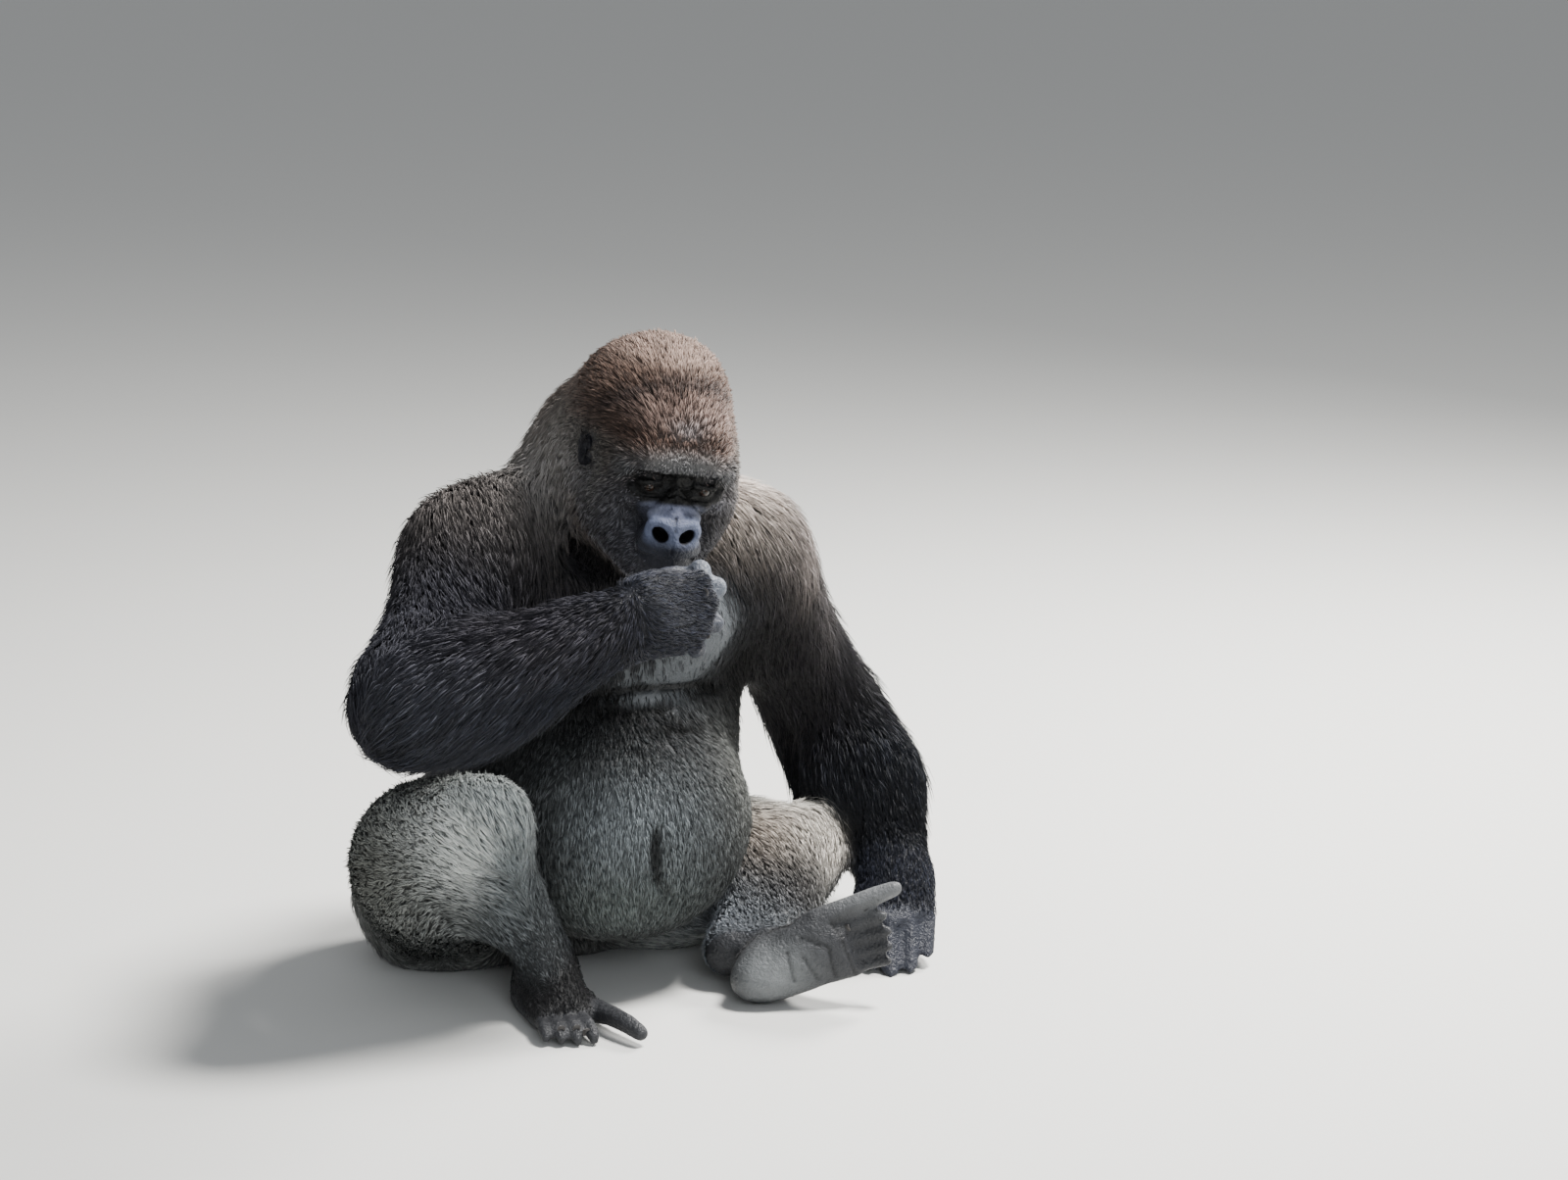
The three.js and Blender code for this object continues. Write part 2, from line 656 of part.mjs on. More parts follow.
// ---------------------------------------------------------------- the cuts between parts

const parted = new Set(); // pairs of neighbours that a plane keeps apart

// One plane parts two neighbours: the second one lies on the side that the direction points to.
function cut(first, second, point, direction) {
  const normal = direction.clone().normalize();
  const offset = normal.dot(point);
  const below = [first].flat();
  const above = [second].flat();
  const under = { normal: normal.clone().negate(), offset: GAP / 2 - offset };
  for (const name of below) parts.get(name).cuts.push(under);
  for (const other of above) {
    parts.get(other).cuts.push({ normal, offset: offset + GAP / 2 });
    for (const name of below) parted.add(`${name} ${other}`).add(`${other} ${name}`);
  }
}

// The direction of the plane that halves the bend at a joint.
function halfway(from, joint, to) {
  const incoming = joint.clone().sub(from).normalize();
  const outgoing = to.clone().sub(joint).normalize();
  return incoming.add(outgoing);
}

cut('chest', 'neck', v(127, -125, 722), v(0.02, -0.42, 0.9));
cut('abdomen', 'chest', v(92, -60, 474), v(0.16, -0.14, 1));
cut('pelvis', 'abdomen', v(30, -60, 158), v(0.08, -0.5, 0.85));
const skullBase = head.at(-52, 0, -62);
const skullBaseDirection = head.forward.clone().multiplyScalar(0.72).addScaledVector(head.up, 0.7);
cut('neck', ['head', 'jaw'], skullBase, skullBaseDirection);
const biteLine = head.forward.clone().multiplyScalar(-0.16).addScaledVector(head.up, 1);
cut('jaw', 'head', head.at(MOUTH.forward, 0, MOUTH.up), biteLine);
for (const side of Object.keys(SIDES)) {
  const armpit = SHOULDER[side].clone().lerp(v(122, -110, 620), 0.3);
  const outward = side === 'right' ? v(-0.85, -0.3, 0.4) : v(0.9, 0, 0.45);
  cut('chest', `upper_arm_${side}`, armpit, outward);
  const slope = side === 'right' ? v(-0.75, 0, -0.66) : v(0.75, 0.42, -0.66);
  cut('neck', `upper_arm_${side}`, v(127 + 137 * SIDES[side], -110, 772), slope);
  const bend = halfway(SHOULDER[side], ELBOW[side], WRIST[side]);
  cut(`upper_arm_${side}`, `forearm_${side}`, ELBOW[side], bend);
  const { frame } = HANDS[side];
  cut(`forearm_${side}`, `hand_${side}`, frame.at(-22, 0, 0), frame.forward);
  for (const { half, along, across } of FINGERS.slice(1, 3)) {
    cut(`hand_${side}`, [], frame.at(along, across, 0), rootNormal(HANDS[side], half));
  }
  const thighLine = KNEE[side].clone().sub(HIP[side]);
  const groin = side === 'right' ? v(-0.35, -0.85, 0.1) : v(0.9, -0.42, 0);
  cut('pelvis', [], HIP[side].clone().addScaledVector(thighLine, 0.12), groin);
  cut(`thigh_${side}`, `shin_${side}`, KNEE[side], halfway(HIP[side], KNEE[side], ANKLE[side]));
  const shinLine = ANKLE[side].clone().sub(KNEE[side]);
  cut(`shin_${side}`, `foot_${side}`, ANKLE[side].clone().addScaledVector(shinLine, -0.04), shinLine);
  cut(`foot_${side}`, [], FEET[side].at(TOE_BASE, 0, 0), FEET[side].forward);
}

// ---------------------------------------------------------------- building the solids

function boxOf(forms, margin) {
  const box = new THREE.Box3();
  for (const form of forms) box.union(form.box);
  return box.expandByScalar(margin);
}

// The part's closed surface, cut off at the floor and at its neighbours. Swelling moves the skin out.
function shaped(item, swelling) {
  const forms = [...item.forms, ...item.beside.flatMap((name) => parts.get(name).forms)];
  const field = blend(forms, item.hollows);
  let solid = surface(field, boxOf(item.forms, item.cell), item.cell, swelling);
  for (const { normal, offset } of item.cuts) {
    solid = solid.trimByPlane(normal.toArray(), offset - swelling);
  }
  return largest(solid.trimByPlane([0, 0, 1], 0));
}

function largest(solid) {
  return solid.decompose().reduce((best, piece) => (piece.volume() > best.volume() ? piece : best));
}

function ball(centre, radius) {
  return solidOf(new THREE.SphereGeometry(radius, 10, 6).translate(...centre.toArray()));
}

// A straight rod, wider at one end than at the other.
function rod(from, to, fromRadius, toRadius, sides) {
  const along = to.clone().sub(from);
  const geometry = new THREE.CylinderGeometry(toRadius, fromRadius, along.length(), sides);
  geometry.translate(0, along.length() / 2, 0);
  geometry.applyQuaternion(new THREE.Quaternion().setFromUnitVectors(v(0, 1, 0), along.normalize()));
  return solidOf(geometry.translate(...from.toArray()));
}

// The eye's hollow, widening to the front.
function socket(centre) {
  const mouth = centre.clone().addScaledVector(head.forward, SOCKET_MOUTH.forward);
  const opening = rod(centre, mouth, EYE.radius + TOUCH_GAP, SOCKET_MOUTH.radius, 12);
  return opening.add(ball(centre, EYE.radius + TOUCH_GAP));
}

const finished = []; // each solid, with the swollen copy that later ones stay clear of

function settle(name, group, material, solid, swollen) {
  let free = solid;
  for (const other of finished) {
    const apart = parted.has(`${name} ${other.name}`) || free.intersect(other.swollen).volume() === 0;
    if (!apart) free = free.subtract(other.swollen);
  }
  finished.push({ name, group, material, solid: largest(free), swollen });
}

const finish = (color, roughness) => new THREE.MeshStandardMaterial({ color, roughness, metalness: 0 });
const skin = (colour) => finish(colour, 0.55);
const fur = (colour) => finish(colour, 0.85);
const wet = (colour) => finish(colour, 0.12);

function addEyes() {
  for (const [side, sign] of Object.entries(SIDES)) {
    const centre = head.at(EYE.forward, EYE.across * sign, EYE.up);
    settle(`eye_${side}`, 'head', wet(0x2a1a10), ball(centre, EYE.radius), socket(centre));
  }
}

function addDigits(side) {
  const add = (name, group, solid) => {
    settle(name, group, skin(SKIN), solid.trimByPlane([0, 0, 1], 0), solid);
  };
  for (const entry of FINGERS) {
    add(`${entry.name}_finger_${side}`, `arm_${side}`, finger(HANDS[side], entry));
  }
  add(`thumb_${side}`, `arm_${side}`, thumb(HANDS[side]));
  for (const entry of TOES) add(`${entry.name}_${side}`, `leg_${side}`, toe(side, entry));
  add(`big_toe_${side}`, `leg_${side}`, bigToe(side));
}

fineMiddles.push(HEAD_CENTRE);
for (const side of Object.keys(SIDES)) {
  fineMiddles.push(HANDS[side].frame.at(60, 0, 0));
  fineMiddles.push(FEET[side].at(50, 0, 0));
}

addEyes();
for (const side of Object.keys(SIDES)) addDigits(side);
for (const item of parts.values()) {
  const material = item.colour === SKIN ? skin(SKIN) : fur(item.colour);
  let solid = shaped(item, 0);
  if (item.name === 'head') solid = solid.subtract(nostril(-1)).subtract(nostril(1));
  settle(item.name, item.group, material, solid, shaped(item, TOUCH_GAP));
}

// ---------------------------------------------------------------- the scene graph

const gorilla = new THREE.Group();
gorilla.name = 'gorilla';

function groupNamed(name) {
  const known = gorilla.getObjectByName(name);
  if (known) return known;
  const group = new THREE.Group();
  group.name = name;
  gorilla.add(group);
  return group;
}

for (const { name, group, material, solid } of finished) {
  const { vertProperties, triVerts } = solid.getMesh();
  const geometry = new THREE.BufferGeometry();
  geometry.setAttribute('position', new THREE.BufferAttribute(vertProperties, 3));
  geometry.setIndex(new THREE.BufferAttribute(triVerts, 1));
  geometry.computeVertexNormals();
  const mesh = new THREE.Mesh(geometry, material);
  mesh.name = name;
  groupNamed(group).add(mesh);
}

export default gorilla;
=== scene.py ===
"""The looks of a seated silverback gorilla: one skin, two eyes, nails and a coat of solid tufts."""

import math

import bmesh
import bpy
import numpy as np
from mathutils import Euler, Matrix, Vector
from mathutils.bvhtree import BVHTree
from mathutils.kdtree import KDTree


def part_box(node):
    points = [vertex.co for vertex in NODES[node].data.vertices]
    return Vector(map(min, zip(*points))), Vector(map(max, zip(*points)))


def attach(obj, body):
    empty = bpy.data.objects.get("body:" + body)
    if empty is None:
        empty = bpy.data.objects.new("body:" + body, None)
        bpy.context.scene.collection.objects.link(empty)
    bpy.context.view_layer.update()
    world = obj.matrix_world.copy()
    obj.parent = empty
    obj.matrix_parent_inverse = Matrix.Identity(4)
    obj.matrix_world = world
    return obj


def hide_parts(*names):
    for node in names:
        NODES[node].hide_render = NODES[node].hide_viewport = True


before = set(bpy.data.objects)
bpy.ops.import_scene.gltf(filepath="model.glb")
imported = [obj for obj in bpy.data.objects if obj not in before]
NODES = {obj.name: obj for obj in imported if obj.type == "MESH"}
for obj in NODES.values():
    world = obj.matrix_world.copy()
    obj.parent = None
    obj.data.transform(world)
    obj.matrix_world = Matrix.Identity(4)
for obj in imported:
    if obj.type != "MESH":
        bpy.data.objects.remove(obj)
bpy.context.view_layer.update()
RANDOM = np.random.default_rng(11)

MM = 0.001
SKIN_VOXEL = 4.2 * MM
THIN_RATIO = 0.205  # of the rough skin's triangles, how many are kept
SIDES = {"right": -1.0, "left": 1.0}
DOWN = np.array([0.0, 0.0, -1.0])


# ---------------------------------------------------------------- small helpers


def size_of(v):
    return np.sqrt(np.einsum("...k,...k->...", v, v))


def unit(v):
    return v / np.maximum(size_of(v), 1e-9)[..., None]


def step(low, high, x):
    t = np.clip((x - low) / (high - low), 0.0, 1.0)
    return t * t * (3.0 - 2.0 * t)


def mix(a, b, share):
    """From a to b. A share of one number for each row is spread over the row."""
    share = np.asarray(share)
    if share.ndim == 1 and max(np.ndim(a), np.ndim(b)) >= 1 and np.shape(b)[-1:] == (3,):
        share = share[:, None]
    return a + (b - a) * share


def place_in(name, x, y, z):
    """A place in a node's box, from 0 to 1 along each axis."""
    low, high = (np.array(v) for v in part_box(name))
    return low + (high - low) * [x, y, z]


def centre(name):
    return place_in(name, 0.5, 0.5, 0.5)


def kind_of(name):
    base = name.replace("_right", "").replace("_left", "")
    return "finger" if base.endswith("finger") else base


def side_of(name):
    return "right" if name.endswith("right") else "left"


def near(points, place, reach):
    """1 at a place, fading to 0 around it."""
    return np.exp(-(((points - np.asarray(place)) / np.asarray(reach)) ** 2).sum(axis=1))


# ---------------------------------------------------------------- the head's own frame

EYE_PLACE = np.array([94.0, 42.0, -8.0])  # forward, across and up from the middle of the head, mm
HEAD_ANGLES = (13.0, 8.0, -12.0)  # how far the head nods, leans and turns, degrees


def head_frame():
    """The middle of the head, and its forward, across and up directions."""
    turn = np.array(Euler([math.radians(a) for a in HEAD_ANGLES]).to_matrix())
    forward, up = -turn[:, 1], turn[:, 2]
    eyes = (centre("eye_right") + centre("eye_left")) / 2
    middle = eyes - (EYE_PLACE[0] * forward + EYE_PLACE[2] * up) * MM
    return middle, np.stack([forward, np.cross(up, forward), up])


HEAD_MIDDLE, HEAD_AXES = head_frame()


def to_head(points):
    return (points - HEAD_MIDDLE) @ HEAD_AXES.T / MM


def from_head(places):
    return HEAD_MIDDLE + np.asarray(places, float) @ HEAD_AXES * MM


# ---------------------------------------------------------------- mesh arrays


def column(items, key, width, kind):
    values = np.empty(len(items) * width, kind)
    items.foreach_get(key, values)
    return values.reshape(-1, width) if width > 1 else values


def arrays_of(mesh):
    mesh.calc_loop_triangles()
    points = column(mesh.vertices, "co", 3, np.float32).astype(float)
    return points, column(mesh.loop_triangles, "vertices", 3, np.int32).astype(np.int64)


def mesh_from(name, points, triangles, smooth=True):
    mesh = bpy.data.meshes.new(name)
    mesh.vertices.add(len(points))
    mesh.vertices.foreach_set("co", np.asarray(points, np.float32).ravel())
    mesh.loops.add(len(triangles) * 3)
    mesh.loops.foreach_set("vertex_index", np.asarray(triangles, np.int32).ravel())
    mesh.polygons.add(len(triangles))
    mesh.polygons.foreach_set("loop_start", np.arange(0, len(triangles) * 3, 3, dtype=np.int32))
    mesh.polygons.foreach_set("loop_total", np.full(len(triangles), 3, np.int32))
    mesh.polygons.foreach_set("use_smooth", np.full(len(triangles), smooth))
    mesh.update(calc_edges=True)
    return mesh


def gathered(pieces):
    """Several pairs of points and triangles as one pair."""
    starts = np.cumsum([0] + [len(points) for points, _ in pieces])
    triangles = [t + start for (_, t), start in zip(pieces, starts)]
    return np.concatenate([points for points, _ in pieces]), np.concatenate(triangles)


def object_from(name, mesh):
    item = bpy.data.objects.new(name, mesh)
    bpy.context.scene.collection.objects.link(item)
    return item


def applied(item):
    graph = bpy.context.evaluated_depsgraph_get()
    mesh = bpy.data.meshes.new_from_object(item.evaluated_get(graph))
    bpy.data.objects.remove(item)
    return mesh


def normals_of(points, triangles):
    a, b, c = (points[triangles[:, k]] for k in range(3))
    face = np.cross(b - a, c - a)
    total = np.zeros_like(points)
    for k in range(3):
        for axis in range(3):
            total[:, axis] += np.bincount(triangles[:, k], face[:, axis], len(points))
    return unit(total)


def edges_of(triangles, count):
    ends = np.concatenate([triangles[:, [0, 1]], triangles[:, [1, 2]], triangles[:, [2, 0]]])
    ends.sort(axis=1)
    keys = np.unique(ends[:, 0] * count + ends[:, 1])
    return np.stack([keys // count, keys % count], axis=1)


class Web:
    """Which vertices of a mesh are neighbours, to average values along the surface."""

    def __init__(self, count, edges):
        start = np.concatenate([edges[:, 0], edges[:, 1]])
        order = np.argsort(start, kind="stable")
        self.to = np.concatenate([edges[:, 1], edges[:, 0]])[order].astype(np.int32)
        self.count = np.bincount(start, minlength=count).astype(np.float32)
        self.starts = (np.cumsum(self.count) - self.count).astype(np.int64)

    def mean(self, values):
        total = np.add.reduceat(values[self.to], self.starts, axis=0)
        return total / (self.count if values.ndim == 1 else self.count[:, None])

    def spread(self, values, rounds, share=0.6):
        values = np.asarray(values, np.float32)
        for _ in range(rounds):
            values = values + share * (self.mean(values) - values)
        return values


# ---------------------------------------------------------------- where the coat is, and its lie

# Per kind of node: smoothing rounds, coat depth, tuft length and width (mm), tufts per square cm.
COAT = {
    "head": (30, 6, 19, 1.4, 14.0),
    "jaw": (24, 4, 17, 1.4, 11.0),
    "ear": (4, 0.4, 6, 1.0, 8.0),
    "neck": (70, 11, 36, 1.9, 10.0),
    "chest": (90, 8, 28, 1.9, 7.0),
    "abdomen": (110, 5, 19, 1.6, 7.0),
    "pelvis": (90, 10, 32, 2.0, 6.0),
    "upper_arm": (90, 14, 54, 2.1, 8.0),
    "forearm": (70, 16, 62, 2.1, 9.0),
    "hand": (8, 3, 18, 1.3, 10.0),
    "finger": (3, 0.8, 8, 1.0, 8.0),
    "thumb": (3, 0.8, 8, 1.0, 8.0),
    "thigh": (90, 9, 28, 1.7, 9.0),
    "shin": (50, 9, 30, 1.7, 9.0),
    "foot": (8, 2, 13, 1.3, 7.0),
    "toe": (3, 0.8, 7, 1.0, 6.0),
}
SMOOTHING, DEPTH, LENGTH, WIDTH, DENSITY = range(5)
FINGERS = ("index_finger", "middle_finger", "ring_finger", "little_finger", "thumb")
TOES = ("toe_2", "toe_3", "toe_4", "toe_5", "big_toe")
COAT.update({toe: COAT["toe"] for toe in TOES})
DIGITS = ("finger", "thumb", *TOES)
HEAD_KINDS = ("head", "jaw", "ear")

FLESH = sorted(n for n in NODES if not n.startswith("eye_"))
KINDS = [kind_of(n) for n in FLESH]


def per_node(column_):
    return np.array([COAT[k][column_] for k in KINDS], float)


def of_kind(labels, *kinds):
    """Which vertices belong to nodes of these kinds."""
    return np.isin(labels, [i for i, k in enumerate(KINDS) if k in kinds])


def cad_tree():
    pieces = [arrays_of(NODES[name].data) for name in FLESH]
    owner = np.repeat(np.arange(len(FLESH)), [len(triangles) for _, triangles in pieces])
    points, triangles = gathered(pieces)
    return points, triangles, owner, BVHTree.FromPolygons(points.tolist(), triangles.tolist())


CAD_POINTS, CAD_TRIANGLES, CAD_OWNER, CAD_TREE = cad_tree()


def nearest_nodes(points):
    found = [CAD_TREE.find_nearest(p)[2] for p in points.tolist()]
    return CAD_OWNER[np.array(found)]


# Each hand's and foot's own directions: along it, and out of its back.
HANDS = {
    "right": (unit(np.array([0.98, 0.1, -0.06])), unit(np.array([-0.12, -0.95, 0.16]))),
    "left": (unit(np.array([-0.34, -0.8, -0.5])), unit(np.array([-0.12, -0.5, 0.86]))),
}
FEET = {
    "right": (unit(np.array([-0.14, -1.0, 0.0])), unit(np.array([0.0, 0.0, 1.0]))),
    "left": (unit(np.array([0.84, -0.44, 0.34])), unit(np.array([0.42, 0.9, -0.06]))),
}


def root_of(name, palm):
    """The middle of a digit's first ring of vertices."""
    points = arrays_of(NODES[name].data)[0]
    return points[np.argsort(size_of(points - centre(palm)))[:7]].mean(axis=0)


# The knuckles: on the fist, in each finger's box; on the other hand, where its fingers start.
FIST = [(0.69, 0.46, 0.78), (0.79, 0.43, 0.92), (0.83, 0.40, 0.50), (0.72, 0.42, 0.30)]
KNUCKLES = {
    "right": np.array([place_in(f"{n}_right", *place) for n, place in zip(FINGERS, FIST)]),
    "left": np.array([root_of(f"{n}_left", "hand_left") for n in FINGERS[:4]]),
}
KNUCKLE_RADII = (18.5, 19.5, 18.0, 16.5)

# ---------------------------------------------------------------- the rough skin


def plug(place, radius):
    """A ball that is added to the flesh before the skin is drawn over it."""
    ball = bmesh.new()
    bmesh.ops.create_icosphere(ball, subdivisions=2, radius=radius * MM)
    mesh = bpy.data.meshes.new("plug")
    ball.to_mesh(mesh)
    ball.free()
    points, triangles = arrays_of(mesh)
    bpy.data.meshes.remove(mesh)
    return points + place, triangles


def plugs():
    """Balls that fill the hollows of the head, and the knuckles."""
    made = []
    for s in (-1, 1):
        middle = EAR_MIDDLE[s]
        for place, radius in (
            ((90, 42 * s, -8), 19),
            ((100, 42 * s, -8), 15),
            ((130, 16 * s, -66), 10),
            ((122, 18 * s, -62), 9),
            ((middle[0] + 2, (middle[1] - 2) * s, middle[2] + 1), 14),
        ):
            made.append(plug(from_head(place), radius))
    for side, places in KNUCKLES.items():
        for place, radius in zip(places, KNUCKLE_RADII):
            made.append(plug(place + HANDS[side][1] * 1.5 * MM, radius))
    return made


def rough_skin():
    """One closed surface round all the flesh, as points, edges and triangles."""
    whole = gathered([(CAD_POINTS, CAD_TRIANGLES), *plugs()])
    item = object_from("rough", mesh_from("rough", *whole))
    remesh = item.modifiers.new("remesh", "REMESH")
    remesh.mode = "VOXEL"
    remesh.voxel_size = SKIN_VOXEL
    mesh = applied(item)
    edges = column(mesh.edges, "vertices", 2, np.int32)
    return *arrays_of(mesh), edges


def smoothed(points, web, rounds):
    """Each vertex is averaged with its neighbours for its own number of rounds."""
    points = points.astype(np.float32)
    for k in range(int(rounds.max())):
        share = 0.6 * np.clip(rounds - k, 0, 1)[:, None].astype(np.float32)
        points = points + share * (web.mean(points) - points)
    return points.astype(float)


def swollen_back(points, start, triangles, web):
    """Gives back the girth that smoothing took, without the facets that it took."""
    for rounds in (110, 60):
        normals = normals_of(points, triangles)
        lack = ((start - points) * normals).sum(axis=1)
        points = points + normals * web.spread(lack, rounds, 0.8)[:, None]
    return points


def thinned(points, triangles, keep):
    """Fewer triangles where keep is 0, all of them where it is 1."""
    item = object_from("thin", mesh_from("thin", points, triangles))
    group = item.vertex_groups.new(name="thin")
    for level in range(0, 5):
        chosen = np.flatnonzero(np.round((1 - keep) * 4) == level)
        group.add(chosen.tolist(), level / 4, "REPLACE")
    decimate = item.modifiers.new("thin", "DECIMATE")
    decimate.vertex_group = "thin"
    decimate.ratio = THIN_RATIO
    return arrays_of(applied(item))


def refined(points, triangles, chosen):
    """Each chosen triangle is cut into four."""
    mesh = mesh_from("fine", points, triangles)
    work = bmesh.new()
    work.from_mesh(mesh)
    work.faces.ensure_lookup_table()
    faces = [work.faces[i] for i in np.flatnonzero(chosen)]
    edges = list({edge for face in faces for edge in face.edges})
    bmesh.ops.subdivide_edges(work, edges=edges, cuts=1, use_grid_fill=True)
    bmesh.ops.triangulate(work, faces=work.faces[:])
    work.to_mesh(mesh)
    work.free()
    result = arrays_of(mesh)
    bpy.data.meshes.remove(mesh)
    return result


# ---------------------------------------------------------------- the face's fine form

# Places and radii are in millimetres: forward, across, up.


def egg(p, place, radii):
    radii = np.array(radii, p.dtype)
    q = (p - np.array(place, p.dtype)) / radii
    scaled = size_of(q)
    return scaled * (scaled - 1) / np.maximum(size_of(q / radii), 1e-6)


def rod(p, a, b, ra, rb):
    a, b = np.array(a, p.dtype), np.array(b, p.dtype)
    along = b - a
    away = p - a
    t = np.clip(away @ along / (along @ along), 0, 1)
    return size_of(away - t[:, None] * along) - (ra + t * (rb - ra))


def join(fields, softness):
    """A soft union."""
    low = np.minimum.reduce(fields)
    total = sum(np.exp((low - field) / softness) for field in fields)
    return low - softness * np.log(total)


def carve(field, tool, softness):
    """What is left of field outside tool, with a soft edge."""
    return -join([-field, tool], softness)


def skull(p):
    forms = [
        egg(p, (-34, 0, 82), (116, 97, 97)),
        egg(p, (-14, 0, 20), (108, 106, 90)),
        rod(p, (99, -50, 38), (99, 50, 38), 18, 18),
        egg(p, (52, 0, 70), (52, 74, 50)),
        egg(p, (56, 0, -26), (50, 62, 58)),
        egg(p, (104, 0, -90), (38, 48, 30)),
        egg(p, (92, 0, -136), (42, 44, 30)),
        egg(p, (36, 0, -120), (58, 66, 36)),
    ]
    for s in (-1, 1):
        forms += [
            rod(p, (91, 48 * s, 36), (56, 84 * s, 20), 17, 17),
            egg(p, (56, 66 * s, -28), (34, 30, 26)),
            egg(p, (4, 72 * s, -50), (56, 46, 74)),
            rod(p, (84, 22 * s, -138), (0, 62 * s, -92), 27, 42),
        ]
    return join(forms, 7)


def features(p):
    """The folds of the face, softly joined on to the skull."""
    forms = [
        rod(p, (90, 0, 6), (116, 0, -46), 11, 14),  # bridge of the nose
        egg(p, (124, 0, -56), (14, 20, 12)),  # between the wings
        rod(p, (103, -24, 33), (103, 24, 33), 15, 15),  # middle of the brow
    ]
    for s in (-1, 1):
        forms += [
            rod(p, (98, 20 * s, -27), (92, 46 * s, -33), 8, 9),  # bag under the eye
            rod(p, (92, 46 * s, -33), (82, 68 * s, -22), 9, 9),
            rod(p, (108, 12 * s, -24), (112, 33 * s, -46), 8, 9),  # fold beside the nose
            rod(p, (118, 12 * s, -99), (112, 40 * s, -98), 12, 10),  # upper lip
            rod(p, (122, 8 * s, -117), (108, 36 * s, -117), 10, 9),  # lower lip
        ]
    return join(forms, 2.6)


NOSTRIL_PLACE = np.array([126.0, 18.5, -69.0])
NOSTRIL_RADII = (20.0, 12.0, 8.6)
NOSTRIL_SLANT = math.radians(28)  # the outer end is the higher one


def nostril_way(s):
    """The way a nostril faces."""
    return unit(np.array([1.0, 0.30 * s, -0.05]))


def nostril_plane(p, s):
    """Places measured from a nostril: out of it, along its long way and across that."""
    out = nostril_way(s)
    side = unit(np.array([-0.30, s, 0.0]))
    rise = np.cross(out, side) * s
    long_way = math.cos(NOSTRIL_SLANT) * side + math.sin(NOSTRIL_SLANT) * rise
    short_way = -math.sin(NOSTRIL_SLANT) * side + math.cos(NOSTRIL_SLANT) * rise
    axes = np.stack([out, long_way, short_way], axis=1).astype(p.dtype)
    return (p - (NOSTRIL_PLACE * [1, s, 1]).astype(p.dtype)) @ axes


def nose_rim(p, s):
    """The thick lip round a nostril."""
    q = nostril_plane(p, s)
    ring = egg(q[:, 1:], (0, 0), (19.0, 15.5))
    return size_of(np.stack([ring, q[:, 0]], axis=1)) - 8.0


def nostril(p, s):
    q = nostril_plane(p, s)
    return egg(q, (2, -0.5, -0.5), NOSTRIL_RADII)


def lids(p):
    forms = []
    for s in (-1, 1):
        forms.append(egg(p, (88, 42 * s, -9), (14.2, 18, 14)))
        forms.append(rod(p, (97, 27 * s, 0), (97, 56 * s, -2), 5, 5))  # the upper lid's fold
    return join(forms, 1.6)


def almond(p, s):
    """The opening between the lids."""
    across, up = p[:, 1] - 42 * s, p[:, 2] + 10
    up = up - 0.10 * s * across
    half_width, half_height = 11.5, 3.9
    radius = (half_width**2 + half_height**2) / (2 * half_height)
    drop = radius - half_height
    flat = np.maximum(np.hypot(across, up - drop), np.hypot(across, up + drop)) - radius
    return np.maximum(flat, 88 - p[:, 0])


def mouth_line(p):
    lines = []
    for s in (-1, 1):
        lines.append(rod(p, (146, 0, -107), (136, 26 * s, -108), 2.8, 2.8))
        lines.append(rod(p, (136, 26 * s, -108), (108, 48 * s, -113), 2.8, 2.2))
    return join(lines, 1.0)


EAR_MIDDLE = {-1: (-3.0, 127.0, 4.0), 1: (-22.0, 106.0, 4.0)}  # the left one lies deeper in the hair
EAR_SCALE = 1.16


def ear_places(p, s):
    """Places measured from the middle of an ear, with across pointing out."""
    return (p * np.array([1.0, s, 1.0], p.dtype) - np.array(EAR_MIDDLE[s], p.dtype)) / EAR_SCALE


def ear(p, s):
    q = ear_places(p, s)
    helix = [[0, 6, 25], [-12, 5, 18], [-16, 4, 2], [-10, 2, -16], [2, 0, -26]]
    forms = [egg(q, (-1, -3, -1), (16, 9, 25))]
    forms += [rod(q, a, b, 4.4, 4.2) for a, b in zip(helix[:-1], helix[1:])]
    forms.append(rod(q, (0, 6, 25), (12, 2, 16), 4.2, 3.4))
    forms.append(rod(q, (-9, 3, 11), (-6, 2, -11), 2.6, 2.6))
    forms.append(egg(q, (13, -3, -6), (5, 6, 8)))
    shell = join(forms, 1.6)
    return carve(shell, egg(q, (3, 8, 0), (10, 12, 15)), 1.6) * EAR_SCALE


def groove(p, a, b, width, depth):
    """How much a thin groove lowers the skin."""
    return depth * np.exp(-((rod(p, a, b, 0, 0) / width) ** 2))


